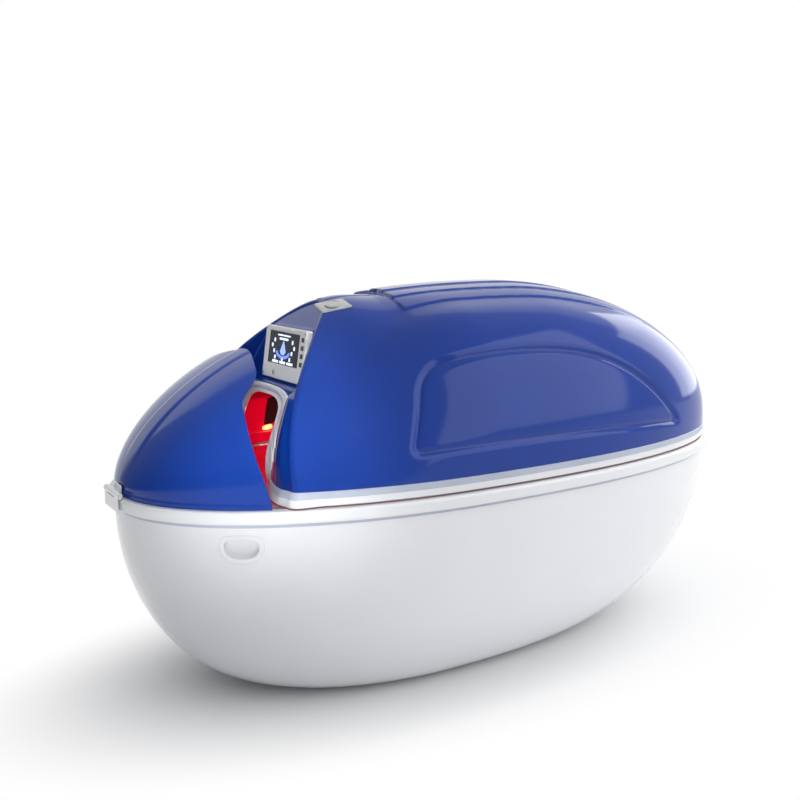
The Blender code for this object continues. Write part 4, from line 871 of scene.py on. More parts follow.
def lid_relief(point):
    """How far the lid's skin stands out from its plain form: side panels, stepped top and spine."""
    x, y, z = point[..., 0], np.abs(point[..., 1]), point[..., 2]
    side = soft_step(z - PANEL_ABOVE[0], PANEL_ABOVE[1]) * soft_step(y - PANEL_OUTSIDE[0], PANEL_OUTSIDE[1])
    inside = panel_inside(x, z)
    groove = PANEL_GROOVE * np.exp(-((inside / PANEL_GROOVE_HALF) ** 2))
    panel = -(groove + PANEL_DEPTH * soft_step(inside, PANEL_EDGE)) * side
    front = x - STEP_FRONT + STEP_SLANT * y
    lines = [start + (end - start) * (x - STEP_START) / STEP_REACH for start, end in STEP_LINES]
    sunk = smooth((lines[0] + SINK_WIDTH - y) / SINK_WIDTH) * ramp_up(front, *SINK_FRONT)
    steps = -len(STEP_LINES) * STEP_HEIGHT * sunk
    for line in lines:
        steps = steps + STEP_HEIGHT * soft_step(line - y, STEP_EDGE) * soft_step(front, STEP_EDGE)
    spine = SPINE_HEIGHT * soft_step(SPINE_HALF - y, SPINE_EDGE) * (1 - ramp_up(front, *SPINE_END))
    return panel + (steps * (1 - ramp_up(x, *STEP_FADE)) + spine) * ramp_up(z, *STEP_ABOVE)


def make_lid_skin():
    shares = even(lid_grid(SAMPLES, 0 * SAMPLES + 0.5) + lid_grid(SAMPLES, 0 * SAMPLES), LID_ROWS)
    turns = even(lid_points(0 * SAMPLES + LID_SAMPLE_X, SAMPLES), LID_COLUMNS + 1)

    def pressed(u, v):
        point = lid_grid(u, v)
        return point + outward(lid_grid, u, v) * lid_relief(point)[..., None]

    u, v = np.meshgrid(shares[:-1], turns, indexing="ij")
    plain = lid_grid(u, v)
    u, v = off_edges(u), off_edges(v)
    out = outward(lid_grid, u, v)
    skin = plain + out * lid_relief(plain)[..., None]
    normals = cross_normals(pressed, u, v, 1e-4)
    normals *= np.sign(np.sum(normals * out, -1, keepdims=True))
    fronts = lid_front(turns)
    outer = np.concatenate([lip_rows(fronts, turns), skin])
    normals = np.concatenate([np.zeros((LIP_ROWS, len(turns), 3)), normals]).reshape(-1, 3)
    end = FOOT_END - LID_INSET
    inner_end = end - LID_WALL
    inner = rows_back(lambda x: lid_points(x, turns, LIP_RADIUS), fronts + LIP_INNER, inner_end, INNER_ROWS)
    return shell("lid_skin", outer, (end, 0, LID_BASE), inner, (inner_end, 0, LID_BASE), normals)


def hood_relief(point):
    """How far the hood's skin stands out from its plain form: a ridge, and a crease above the rim."""
    y, z = np.abs(point[..., 1]), point[..., 2] - HOOD_BASE
    ridge = soft_step(HOOD_RIDGE_HALF - y, HOOD_RIDGE_EDGE) * ramp_up(z, *HOOD_RIDGE_FROM)
    crease = np.exp(-(((z - HOOD_CREASE_RISE) / HOOD_CREASE_WIDTH) ** 2))
    return HOOD_RIDGE * ridge - HOOD_CREASE * crease


def make_hood_skin():
    turns = even(hood_points(0 * SAMPLES + HOOD_SAMPLE_X, SAMPLES), HOOD_COLUMNS + 1)
    heights = hood_points(0 * SAMPLES + HOOD_SAMPLE_X, SAMPLES / 2)[:, 2] - HOOD_BASE
    close = np.interp(np.linspace(*HOOD_CREASE_SPAN, HOOD_CREASE_ROWS), heights, SAMPLES / 2)
    turns = np.unique(np.concatenate([turns, close, 1 - close]))
    known = np.linspace(0, 1, 801)
    edges = hood_edge(known)
    end = HEAD_END + HOOD_INSET

    def grid(u, v):
        edge = np.interp(v, known, edges)
        return hood_points(edge + (end - edge) * u, v)

    shares = even(grid(SAMPLES, 0 * SAMPLES + 0.5) + grid(SAMPLES, 0 * SAMPLES), HOOD_ROWS)
    u, v = np.meshgrid(shares[:-1], turns, indexing="ij")
    plain = grid(u, v)
    skin = plain + outward(grid, off_edges(u), off_edges(v)) * hood_relief(plain)[..., None]
    front, inner_end = np.interp(turns, known, edges), end + HOOD_WALL
    inner = rows_back(lambda x: hood_points(x, turns, HOOD_WALL), front, inner_end, INNER_ROWS)
    return shell("hood_skin", skin, (end, 0, HOOD_BASE), inner, (inner_end, 0, HOOD_BASE))


def make_liner():
    """Red lining of the lid with a leaning front edge."""
    def surface(x, inset):
        return lid_points(x, turns, inset, LINER_BASE)

    def ahead(x):
        return x - LINER_FRONT_X - LINER_LEAN * (surface(x, LINER_SPACE)[:, 2] - LINER_BASE)

    turns = even(lid_points(0 * SAMPLES + LID_SAMPLE_X, SAMPLES, LINER_SPACE, LINER_BASE), LINER_COLUMNS + 1)
    fronts = solve(ahead, LINER_FRONT_X - LINER_WALL, LID_CROWN_X, turns.shape)
    faces = []
    for inset in (LINER_SPACE, LINER_SPACE + LINER_WALL):
        end = FOOT_END - LID_INSET - inset
        faces.append(rows_back(lambda x: surface(x, inset), fronts, end, LINER_ROWS))
        faces.append((end, 0, LINER_BASE))
    return shell("lid_lining", *faces)


def make_hull():
    angles = angles_of(PLAN_STEPS)
    drops = np.sin(np.pi / 2 * np.arange(HULL_ROWS + 1) / HULL_ROWS)
    outer = [hull_points(angles, drop) for drop in drops]
    inner = [hull_points(angles, drop, HULL_WALL, HULL_FLOOR + HULL_WALL) for drop in drops[::4]]
    top = [lifted(loop[:, :2], RIM_BOTTOM - GAP) for loop in (outer[0], inner[0])]
    return loft("tub_hull", [*reversed(outer), *top, *inner])


def inward_normals(path):
    """Mitred normals along an open plan path, to the left of its direction."""
    steps = unit(np.diff(path, axis=0))
    before, after = np.vstack([steps[:1], steps]), np.vstack([steps, steps[-1:]])
    mean = unit(before + after)
    reach = np.maximum(np.sum(mean * before, axis=1), 0.5)
    return np.stack([-mean[:, 1], mean[:, 0]], -1) / reach[:, None]


def band(name, path, section):
    """An open band along the flange's path, whose section is a list of (distance inwards, z)."""
    run = distances(path)
    past_cheek = np.minimum(run, run[-1] - run) - run[CHEEK_STEPS]
    skirts = NECK_WALL_LEAN * (1 - smooth(past_cheek / SKIRT_FADE))
    loops = []
    for point, normal, skirt in zip(path, inward_normals(path), skirts):
        insets = [inset - skirt * max(LID_BASE - z, 0) for inset, z in section]
        loops.append([(*(point + normal * inset), z) for inset, (_, z) in zip(insets, section)])
    return loft(name, loops)


def flange_path():
    """Plan path of the lid's bottom edge, from the flared foot of one leg of the arch round to the other."""
    start, end = FRONT_X + LIP_RADIUS, FOOT_END - LID_INSET

    def side(shares):
        return lid_points(start + (end - start) * shares, 0 * shares)[:, :2]

    foot = -ARCH_HALF - ARCH_LEG_RATIO * ARCH_BAND - FLARE_RADIUS
    y = np.linspace(foot, -lip_edge(LID_BASE)[0], CHEEK_STEPS + 1)[:-1]
    cheek = np.stack([neck_x(y, 0 * y), y], -1)
    lip = lip_rows(np.array(FRONT_X), np.array(0.0))[:, :2]
    half = np.concatenate([cheek, lip, side(even(side(np.linspace(0, 1, 3001)), FLANGE_STEPS))])
    return np.concatenate([half, half[-2::-1] * (1, -1)])


def neck_x(y, rise):
    """x of the neck wall: flat middle, and cheeks that bow forward near the lid's base."""
    half, outer = lip_edge(LID_BASE + np.maximum(rise, 0))
    inner = NECK_WALL_X + NECK_WALL_LEAN * rise
    fold = np.minimum(CHEEK_FOLD - CHEEK_FOLD_LEAN * np.maximum(rise, 0), CHEEK_FOLD_MOST * half)
    share = past(np.abs(y) - fold, CHEEK_BLUR) / past(half - fold, CHEEK_BLUR)
    plain = inner + (outer - inner) * share
    along = np.clip((np.abs(y) - CHEEK_BOW_FROM) / (half - CHEEK_BOW_FROM), 0, 1)
    swing = np.sin(np.pi / 2 * np.minimum(along / CHEEK_BOW_SHARE, 1))
    back = ramp_up(along, CHEEK_BOW_SHARE, 1 - CHEEK_BOW_SHARE)
    bowed = inner + (outer - inner - CHEEK_BOW) * swing + CHEEK_BOW * back
    return plain + (bowed - plain) * (1 - smooth(rise / CHEEK_BOW_FADE))


def wall_row(rise, inner=None):
    """One row of the front wall from lip to lip: at x inner, or on the neck wall with its cheeks."""
    half, outer = lip_edge(LID_BASE + rise)
    y = np.linspace(-1, 1, FASCIA_COLUMNS + 1) * half
    if inner is None:
        x = neck_x(y, np.full_like(y, rise))
    else:
        fold = CHEEK_FOLD_MOST * half
        x = inner + (outer - inner) * past(np.abs(y) - fold, WALL_BLUR) / past(half - fold, WALL_BLUR)
    return lifted(np.stack([x, y], -1), LID_BASE + rise)


def corner_rows(before, corner, after, reach, steps=5):
    """Rows that round the corner between two faces of the front wall."""
    def towards(row):
        length = np.maximum(np.linalg.norm(row - corner, axis=-1, keepdims=True), 1e-9)
        return corner + (row - corner) * np.minimum(reach / length, 1.0)

    return [bend(towards(before), corner, towards(after), s) for s in np.linspace(0, 1, steps + 1)]


def make_fascia():
    """Dished front wall: neck wall with cheeks, shelf, console wall and brow, with soft corners."""
    def console_x(rise):
        return CONSOLE_WALL_X + CONSOLE_WALL_LEAN * (rise - SHELF_RISE)

    neck = [wall_row(r) for r in np.linspace(0, SHELF_RISE, NECK_ROWS)]
    console_rises = np.linspace(SHELF_RISE + SHELF_FALL, BROW_RISE, CONSOLE_ROWS)
    console = [wall_row(r, console_x(r)) for r in console_rises]
    top = solve(lambda r: BROW_LAST - lip_edge(LID_BASE + r)[0], BROW_RISE, LID_CROWN, ())
    brow = []
    for r in np.linspace(BROW_RISE, float(top), BROW_ROWS)[1:]:
        brow.append(wall_row(r, max(lip_edge(LID_BASE + r)[1], console_x(BROW_RISE))))
    shelf = [neck[-1] + (console[0] - neck[-1]) * s for s in np.linspace(0, 1, SHELF_ROWS)[1:-1]]
    rows = neck[:-1] + corner_rows(neck[-2], neck[-1], shelf[0], SHELF_ROUND)
    rows += shelf[1:-1] + corner_rows(shelf[-1], console[0], console[1], CONSOLE_ROUND)
    rows += console[2:-1] + corner_rows(console[-2], console[-1], brow[0], BROW_ROUND) + brow[1:]
    front = np.array(rows)
    back = front + np.array([FASCIA_WALL, 0, -FASCIA_WALL])
    back[..., 2] = np.maximum(back[..., 2], LID_BASE)
    wall = slab("lid_front_wall", front, back)
    line = np.mean(arch_edges(ARCH_STEPS), axis=0)
    line = np.vstack([[line[0][0], -ARCH_RISE], line, [line[-1][0], -ARCH_RISE]])
    return carve(wall, loft("neck_cutter", [on_neck(line, out) for out in (-NECK_CUT, NECK_CUT)]))


def on_neck(line, out):
    """Points of the neck wall from (y, rise), this far out of it."""
    outside = np.array([-1, 0, NECK_WALL_LEAN]) / math.hypot(1, NECK_WALL_LEAN)
    y, rise = line.T
    points = np.stack([neck_x(y, rise), y, LID_BASE + rise], -1)
    return points + outside * np.broadcast_to(np.asarray(out)[..., None], points.shape)


def arch_edges(steps):
    """Inner and outer edge of the neck trim as (y, rise), from leg to leg over the top."""
    edges = []
    for grow in (0.0, ARCH_BAND):
        half, spring = ARCH_HALF + ARCH_LEG_RATIO * grow, ARCH_RISE + grow - ARCH_SHOULDER
        angles = np.linspace(0, np.pi, steps + 1)
        y = -half * powered(np.cos(angles), ARCH_POWER)
        edges.append(np.stack([y, spring + ARCH_SHOULDER * powered(np.sin(angles), ARCH_POWER)], -1))
    return edges


def trim_edges():
    """Edges of the neck trim with its feet flared out to the lid's flange, and each station's flare."""
    inner, outer = arch_edges(TRIM_STEPS)
    wide = ARCH_LEG_RATIO * ARCH_BAND
    middle = np.array((-ARCH_HALF - wide - FLARE_RADIUS, FLANGE_TOP - LID_BASE + FLARE_RADIUS))
    angles = np.linspace(np.pi / 2, 0, FLARE_STEPS + 1)
    arc = np.stack([np.cos(angles), -np.sin(angles)], -1)

    def whole(foot, arch):
        leg = foot[-1] + (arch[0] - foot[-1]) * np.linspace(0, 1, ARCH_LEG_STEPS + 2)[1:-1, None]
        half = np.concatenate([foot, leg])
        return np.concatenate([half, arch, half[::-1] * (-1, 1)])

    foot_in = middle + arc * (FLARE_RADIUS + wide, FLANGE_TOP - FLANGE_BOTTOM + FLARE_RADIUS)
    spread = np.concatenate([np.sin(angles), np.zeros(ARCH_LEG_STEPS)])
    flare = np.concatenate([spread, np.zeros(len(inner)), spread[::-1]])
    return whole(foot_in, inner), whole(middle + arc * FLARE_RADIUS, outer), flare


def make_neck_trim():
    """White trim round the neck arch, whose feet run out into the lid's flange."""
    inner, outer, flare = trim_edges()
    loops = []
    for across, out in rounded_section(rectangle((0, ARCH_BAND), 0, TRIM_THICK), TRIM_ROUND):
        line = inner + (outer - inner) * (across / ARCH_BAND)
        loops.append(on_neck(line, GAP + out * (1 - FLARE_THIN * flare)))
    return loft("neck_trim_band", np.swapaxes(np.array(loops), 0, 1))


def make_neck_seal():
    """Grey bead along the neck trim, which slides out to the lid's seal along the feet."""
    inner, outer, flare = trim_edges()
    place = BEAD_PLACE + (BEAD_FOOT_PLACE - BEAD_PLACE) * smooth(flare)
    wide = np.linalg.norm(outer - inner, axis=1)
    loops = []
    for angle in np.linspace(0, np.pi, BEAD_STEPS + 1):
        across = place - BEAD_WIDTH / 2 * math.cos(angle) / wide
        out = GAP + TRIM_THICK * (1 - FLARE_THIN * flare) + BEAD_THICK * (math.sin(angle) - BEAD_SUNK)
        loops.append(on_neck(inner + (outer - inner) * across[:, None], out))
    return loft("neck_seal_bead", np.swapaxes(np.array(loops), 0, 1))


def on_console(flat, out):
    """Points of the console from (y, rise), this far out of its wall."""
    upward = Vector((CONSOLE_WALL_LEAN, 0, 1)).normalized()
    outside = Vector((-1, 0, CONSOLE_WALL_LEAN)).normalized()
    turned = np.array(Matrix((Vector((0, 1, 0)), upward, outside)))
    origin = np.array(Vector((CONSOLE_WALL_X, 0, LID_BASE + SHELF_RISE)) + outside * GAP)
    return lifted(flat, out) @ turned + origin


def plate(middle, size, radius, levels):
    """Loops of a stack of round rectangles on the console: levels are (shrink, out)."""
    loops = []
    for shrink, out in levels:
        flat = round_rectangle(middle, np.array(size) - 2 * shrink, max(radius - shrink, PLATE_ROUND))
        loops.append(on_console(flat, out))
    return loops


def make_console():
    """Bezel with a sunk screen, corner screws and lit marks of a plain gauge."""
    size, high = np.array(CONSOLE_SIZE[:2]), CONSOLE_SIZE[2]
    screen = np.array(SCREEN_SIZE[:2])
    levels = [(0.0, 0.0), (0.0, high - BEZEL_ROUND)]
    for angle in np.linspace(BEZEL_ROUND_FROM, np.pi / 2, 5):
        levels.append((BEZEL_ROUND * (1 - math.cos(angle)), high - BEZEL_ROUND * (1 - math.sin(angle))))
    levels.append((BEZEL_LAND, high))
    loops = plate(CONSOLE_AT, size, BEZEL_CORNER, levels)
    for grow, depth in POCKET_LEVELS:
        flat = round_rectangle(SCREEN_AT, screen + 2 * GAP + 2 * grow, POCKET_ROUND)
        loops.append(on_console(flat, high - depth))
    bezel = loft("console_case", loops, crease=30)
    wells = []
    for k in range(KEY_COUNT):
        middle = (KEY_SHIFT, SCREEN_AT[1] + KEY_PITCH * (k - (KEY_COUNT - 1) / 2))
        wells.append(round_rectangle(middle, np.full(2, KEY_SIZE + 4 * GAP), KEY_ROUND, 2))
    wells.append(circle(32) * (POWER_RADIUS + 2 * GAP) + POWER_AT)
    for flat in wells:
        carve(bezel, loft("well", [on_console(flat, out) for out in WELL_SPAN]))
    settle(bezel, "silver_console", "lid", "console_bezel")
    face = high - GAP
    levels = [(0, face - SCREEN_SIZE[2]), (0, face - SCREEN_SOFT), (SCREEN_SOFT, face)]
    glass = loft("console_glass", plate(SCREEN_AT, screen, SCREEN_ROUND, levels), crease=30)
    settle(glass, "dark_screen", "lid", "console_screen")
    make_screws(np.array(CONSOLE_AT) + CORNERS * (size / 2 - SCREW_INSET), high)
    make_screen_marks(face + MARK_LIFT)


def make_screws(places, out):
    """Low round screw heads with a cross slot, in one mesh."""
    points, faces = [], []
    quarter = np.mod(angles_of(SCREW_STEPS), np.pi / 2) - np.pi / 4
    slot = np.where(np.abs(quarter) > SCREW_SLOT_TURN, *SCREW_SLOT)[:, None]
    for middle in places:
        first = len(points)
        for share, rise in (*SCREW_PROFILE, (slot, SCREW_SLOT_RISE)):
            points.extend(on_console(circle(SCREW_STEPS) * SCREW_RADIUS * share + middle, out + rise))
        faces += weave(len(SCREW_PROFILE) + 1, SCREW_STEPS, first=first, ring=True)
        faces.append(tuple(range(len(points) - SCREW_STEPS, len(points))))
    settle(make("console_screws", points, faces, 30), "bright_steel", "lid")


def make_screen_marks(out):
    """Lit marks of a plain gauge on the screen: bars, marks on both sides, a cone of light in a bowl."""
    def at(across, down):
        return (0.5 - np.array((across, down))) * SCREEN_SIZE[:2] + SCREEN_AT

    def marks(name, outlines, finish, lift):
        points, faces = [], []
        for outline in outlines:
            faces.append(tuple(range(len(points), len(points) + len(outline))))
            points.extend(on_console(outline, out + lift))
        settle(make(name, points, faces), finish, "lid", slot="dark_screen")

    bars = [(0.5, 0.10, 0.088, 0.0045), (0.5, 0.21, 0.062, 0.0065)]
    bars += [(across, 0.93, 0.042, 0.0075) for across in (0.27, 0.52, 0.77)]
    for side in (-1, 1):
        for aside, down in ((0.30, 0.27), (0.37, 0.44), (0.30, 0.61), (0.25, 0.80)):
            bars.append((0.5 + side * aside, down, 0.011, 0.0125))
    bars.append((0.5, 0.84, 0.011, 0.008))
    white = []
    for across, down, *size in bars:
        white.append(round_rectangle(at(across, down), size, min(size) * MARK_ROUND, 4))
    marks("screen_marks", white, "lit_white", 0.0003)
    sweep = np.linspace(np.pi, 2 * np.pi, 33)
    arc = np.stack([np.cos(sweep), np.sin(sweep)], -1)
    bowl = np.vstack([arc * (0.048, 0.022), arc[::-1] * (0.036, 0.013)]) + at(0.5, 0.60)
    marks("screen_bowl", [bowl], "lit_blue", 0.0)
    corners = ((0.49, 0.27), (0.51, 0.27), (0.60, 0.60), (0.55, 0.70), (0.45, 0.70), (0.40, 0.60))
    marks("screen_cone", [np.array([at(*corner) for corner in corners])], "lit_cone", 0.0002)


def make_badge():
    """Plain plate with round corners and a ringed disc on the near shoulder of the nose."""
    middle, half_turn = sum(BADGE_TURNS) / 2, (BADGE_TURNS[1] - BADGE_TURNS[0]) / 2
    outline = round_rectangle((0, 0), (2, 2), BADGE_ROUND, 8)

    def level(share, inset):
        x = BADGE_X + BADGE_LENGTH / 2 * outline[:, 0] * share
        return lid_points(x, middle + half_turn * outline[:, 1] * share, inset)

    top = -BADGE_PAD - BADGE_THICK
    loops = [level(1.0, 0.0)] + [level(share, top + depth) for share, depth in BADGE_LEVELS]
    loops += [level(share, top) for share in BADGE_MIDDLE]
    settle(loft("badge_face", loops, crease=25), "silver_badge", "lid", "badge_plate")
    low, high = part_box("badge_disc")
    centre = np.array((low + high) / 2)
    near = ((0, 0), (0.02, 0), (0, 0.01))
    at, ahead, aside = (lid_points(np.array(BADGE_X + x), np.array(middle + turn)) for x, turn in near)
    normal = unit(np.cross(ahead - at, aside - at))
    normal *= np.sign(normal[2])
    ahead = unit(ahead - at)
    flat = circle(64) @ np.array([ahead, np.cross(normal, ahead)]) * BADGE_DISC
    loops = [centre + flat * share + normal * rise for share, rise in DISC_LEVELS]
    settle(loft("badge_ring", loops, crease=25), "bright_steel", "lid", "badge_disc")


def hull_site(x, z, side):
    """A patch of the hull at x and z: function from rows of (along, up, out) to points."""
    drop = (HULL_SHOULDER - z) / (HULL_SHOULDER - HULL_FLOOR)
    turn = float(solve(lambda a: x - hull_points(a, drop)[..., 0], 0.0, np.pi, ()))
    here = hull_points(np.array(turn), drop)
    along_rate = np.linalg.norm(hull_points(np.array(turn + SITE_STEP), drop) - here) / SITE_STEP
    up_rate = np.linalg.norm(hull_points(np.array(turn), drop + SITE_STEP) - here) / SITE_STEP

    def place(rows):
        angle, level = turn - rows[:, 0] / along_rate, drop - rows[:, 1] / up_rate
        point = hull_points(angle, level)
        ahead = hull_points(angle - SITE_STEP, level) - point
        above = hull_points(angle, level - SITE_STEP) - point
        return (point + unit(np.cross(above, ahead)) * rows[:, 2:]) * (1, side, 1)

    return place


def d_outline(grow):
    """A letter-D shape lying on its back: flat top with round corners, round bottom."""
    top, half = GRIP_SIZE[1] / 2 + grow, GRIP_SIZE[0] / 2 + grow
    waist = top - GRIP_SHOULDER - grow
    x, y = circle(GRIP_STEPS).T
    above = y >= 0
    power = np.where(above, *GRIP_POWERS)
    reach = np.where(above, top - waist, waist + top)
    return np.stack([half * powered(x, power), waist + reach * powered(y, power)], -1)


def make_grip(name, hull, side):
    """A bordered finger cup let into the hull, with soft edges."""
    place = hull_site(*GRIP_AT, side)

    def loop(grow, out):
        return place(lifted(d_outline(grow), out))

    border = GRIP_WALL + GRIP_BORDER
    levels = [(GRIP_WALL, -GRIP_DEPTH - GRIP_WALL), (GRIP_WALL, GAP)]
    for angle in np.linspace(0, np.pi, 15):
        proud = GRIP_PROUD * math.sin(angle) ** GRIP_PROUD_POWER
        levels.append((border / 2 * (1 + math.cos(angle)), GAP + proud))
    levels += [(grow, rise - GRIP_DEPTH) for grow, rise in GRIP_FLOOR]
    hole = GRIP_WALL + 2 * GAP
    carve(hull, loft("grip_hole", [loop(hole, out) for out in (-2 * GRIP_DEPTH, GRIP_DEPTH)]))
    return loft(name, [loop(*level) for level in levels], crease=40)


def lined(x, turn, depth, side):
    """Points on the lining's inner face, this far into the cabin."""
    return lid_points(x, turn, PANEL_SEAT + depth, LINER_BASE) * (1, -side, 1)


def make_heater(name, side):
    """A ribbed infrared panel on the lining's side wall."""
    rows, share = (np.linspace(0, 1, count) for count in HEATER_STEPS)
    turns = np.interp(share, (0, 1), HEATER_TURNS)
    fronts = np.interp(share, (0, 1), HEATER_FRONTS)
    ribs = HEATER_THICK - HEATER_RIB * (np.cos(2 * np.pi * HEATER_RIBS * share) + 1) / 2

    def face(depth):
        return np.array([lined(fronts + (HEATER_END - fronts) * s, turns, depth, side) for s in rows])

    return slab(name, face(ribs), face(0 * ribs))


def make_lamp(name, side):
    """A frosted oval lamp at the foot of the lining's wall."""
    oval = powered(circle(48), LAMP_POWER) * LAMP_SIZE / 2
    loops = []
    for share, depth in LAMP_DOME:
        x, turn = (oval * share + LAMP_AT).T
        loops.append(lined(x, turn, depth, side))
    return loft(name, loops)


def block(x, y):
    """An upright cutter between two x and two y."""
    flat = [(x[0], y[0]), (x[1], y[0]), (x[1], y[1]), (x[0], y[1])]
    return loft("cutter", [lifted(flat, z) for z in CUT_HEIGHTS])


def make_trays():
    """The bed's tray and the foot deck behind it, with an open slot for each strut."""
    outside = RIM_LEDGE + GAP
    inside = outside + TRAY_WALL
    edge = TRAY_TOP - TRAY_ROUND
    section = [(outside + TRAY_SLOPE, TRAY_FLOOR), (outside, edge), (outside + TRAY_ROUND, TRAY_TOP)]
    section += [(inside - TRAY_ROUND, TRAY_TOP), (inside, edge)]
    low = np.array((inside + TRAY_SLOPE, BED_TOP))
    above = np.array((inside, BED_TOP)) + TRAY_COVE
    section += [bend(above, low, low + (TRAY_COVE_IN, 0), s) for s in np.linspace(0, 1, TRAY_COVE_STEPS)]
    tray = plan_lofted("bed_tray_form", section, True)
    carve(tray, block((TRAY_SPLIT, CUT_BEYOND), (-1, 1)))
    deck = plan_lofted("foot_deck_form", section, True)
    carve(deck, block((-CUT_BEYOND, TRAY_SPLIT + GAP), (-1, 1)))
    for y in (-SLOT_Y, SLOT_Y):
        carve(deck, block((SLOT_START, SLOT_END), (y - SLOT_WIDTH / 2, y + SLOT_WIDTH / 2)))
    # The tray and deck wear the red lining's finish: their red colour and glow are painted red light of the
    # cabin.
    settle(tray, "red_lit_liner", "tub", "bed_tray")
    settle(deck, "red_lit_liner", "tub", "foot_deck")


def pillow_surface(u, v, top, shrink):
    length, width, height = PILLOW_SIZE
    x = length / 2 * shrink * u * (1 - PILLOW_WAIST * (1 - v * v))
    y = width / 2 * shrink * v * (1 - PILLOW_WAIST * (1 - u * u))
    level = (1 - np.abs(u) ** PILLOW_POWERS[0]) * (1 - np.abs(v) ** PILLOW_POWERS[1])
    swell = np.sqrt(np.clip(level, 0, 1))
    if top:
        share = PILLOW_HEM + (1 - PILLOW_HEM) * swell
    else:
        share = PILLOW_HEM * (1 - np.minimum(PILLOW_UNDER * swell, 1.0))
    return np.stack([PILLOW_X + x, y, BED_TOP + GAP + height * share * (1 + shrink) / 2], -1)


def make_pillow():
    """A stuffed head cushion: a sewn shell blown up as cloth."""
    shares = [np.sin(np.pi * (np.linspace(0, 1, count) - 0.5)) for count in PILLOW_STEPS]
    u, v = np.meshgrid(*shares, indexing="ij")
    shrink = PILLOW_SHRINK
    points = np.concatenate([pillow_surface(u, v, top, shrink).reshape(-1, 3) for top in (True, False)])
    pillow = make("pillow_cover", points, weave(*u.shape) + weave(*u.shape, first=u.size), 180)
    inflate(pillow)
    settle(pillow, "pillow_cover", "tub", "head_pillow")


def inflate(pillow):
    """Blows the cushion up as cloth, holds how far it may swell, and keeps its underside on the tray."""
    scene = bpy.context.scene
    remesh = pillow.modifiers.new("remesh", "REMESH")
    remesh.mode = "VOXEL"
    remesh.voxel_size = PILLOW_VOXEL
    remesh.use_smooth_shade = True
    bake(pillow)
    before = vertex_array(pillow)
    cloth = pillow.modifiers.new("cloth", "CLOTH")
    cloth.settings.use_pressure = True
    cloth.settings.uniform_pressure_force = PILLOW_PRESSURE
    cloth.settings.effector_weights.gravity = 0.0
    cloth.settings.quality = PILLOW_QUALITY
    cloth.settings.mass = PILLOW_MASS
    cloth.point_cache.frame_start, cloth.point_cache.frame_end = 1, PILLOW_FRAMES
    for k in range(1, PILLOW_FRAMES + 1):
        scene.frame_set(k)
    bake(pillow)
    scene.frame_set(1)
    move = vertex_array(pillow) - before
    length = np.linalg.norm(move, axis=1, keepdims=True)
    moved = before + move * np.minimum(1, PILLOW_SWELL / np.maximum(length, 1e-9))
    moved[:, 2] = np.maximum(moved[:, 2], BED_TOP + GAP)
    low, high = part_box("head_pillow")
    moved = np.clip(moved, np.array(low), np.array(high) + (0, 0, PILLOW_CROWN))
    pillow.data.vertices.foreach_set("co", moved.astype(np.float32).ravel())
    finer = pillow.modifiers.new("finer", "SUBSURF")
    finer.levels = finer.render_levels = 1
    bake(pillow)
    pillow.data.shade_smooth()


def vertex_array(item):
    flat = np.empty(len(item.data.vertices) * 3, np.float32)
    item.data.vertices.foreach_get("co", flat)
    return flat.reshape(-1, 3).astype(float)


def pale_stage(name, tone, fades):
    """A pale matt paint that the camera, metal and glass see as white away from the object."""
    made = bpy.data.materials.new(name)
    made.use_nodes = True
    tree = made.node_tree
    tree.nodes.clear()
    rays = tree.nodes.new("ShaderNodeLightPath").outputs
    seen = rays["Is Camera Ray"]
    for kind in ("Is Glossy Ray", "Is Transmission Ray"):
        seen = add(tree, "Math", {0: seen, 1: rays[kind]}, operation="MAXIMUM")
    if fades:
        place = add(tree, "TexCoord", {}, "Object")
        oval = add(tree, "Mapping", {"Vector": place, "Scale": (2 / LENGTH, 2 / WIDTH, 1)}, "Vector")
        length = add(tree, "VectorMath", {0: oval}, "Value", operation="LENGTH")
        span = {"Value": length, "From Min": FLOOR_FADE[0], "From Max": FLOOR_FADE[1]}
        far = add(tree, "MapRange", span, "Result", interpolation_type="SMOOTHSTEP")
        seen = add(tree, "Math", {0: seen, 1: far}, operation="MULTIPLY")
    matt = add(tree, "BsdfDiffuse", {"Color": (tone, tone, tone, 1)}, "BSDF")
    mixed = add(tree, "MixShader", {"Fac": seen, 1: matt, 2: add(tree, "Emission", {})}, "Shader")
    feed(tree, tree.nodes.new("ShaderNodeOutputMaterial"), {"Surface": mixed})
    return made


def aim(item, at, to):
    """Places a camera or lamp and turns it towards a point."""
    item.location = at
    item.rotation_euler = (Vector(to) - Vector(at)).to_track_quat("-Z", "Y").to_euler()
    bpy.context.scene.collection.objects.link(item)


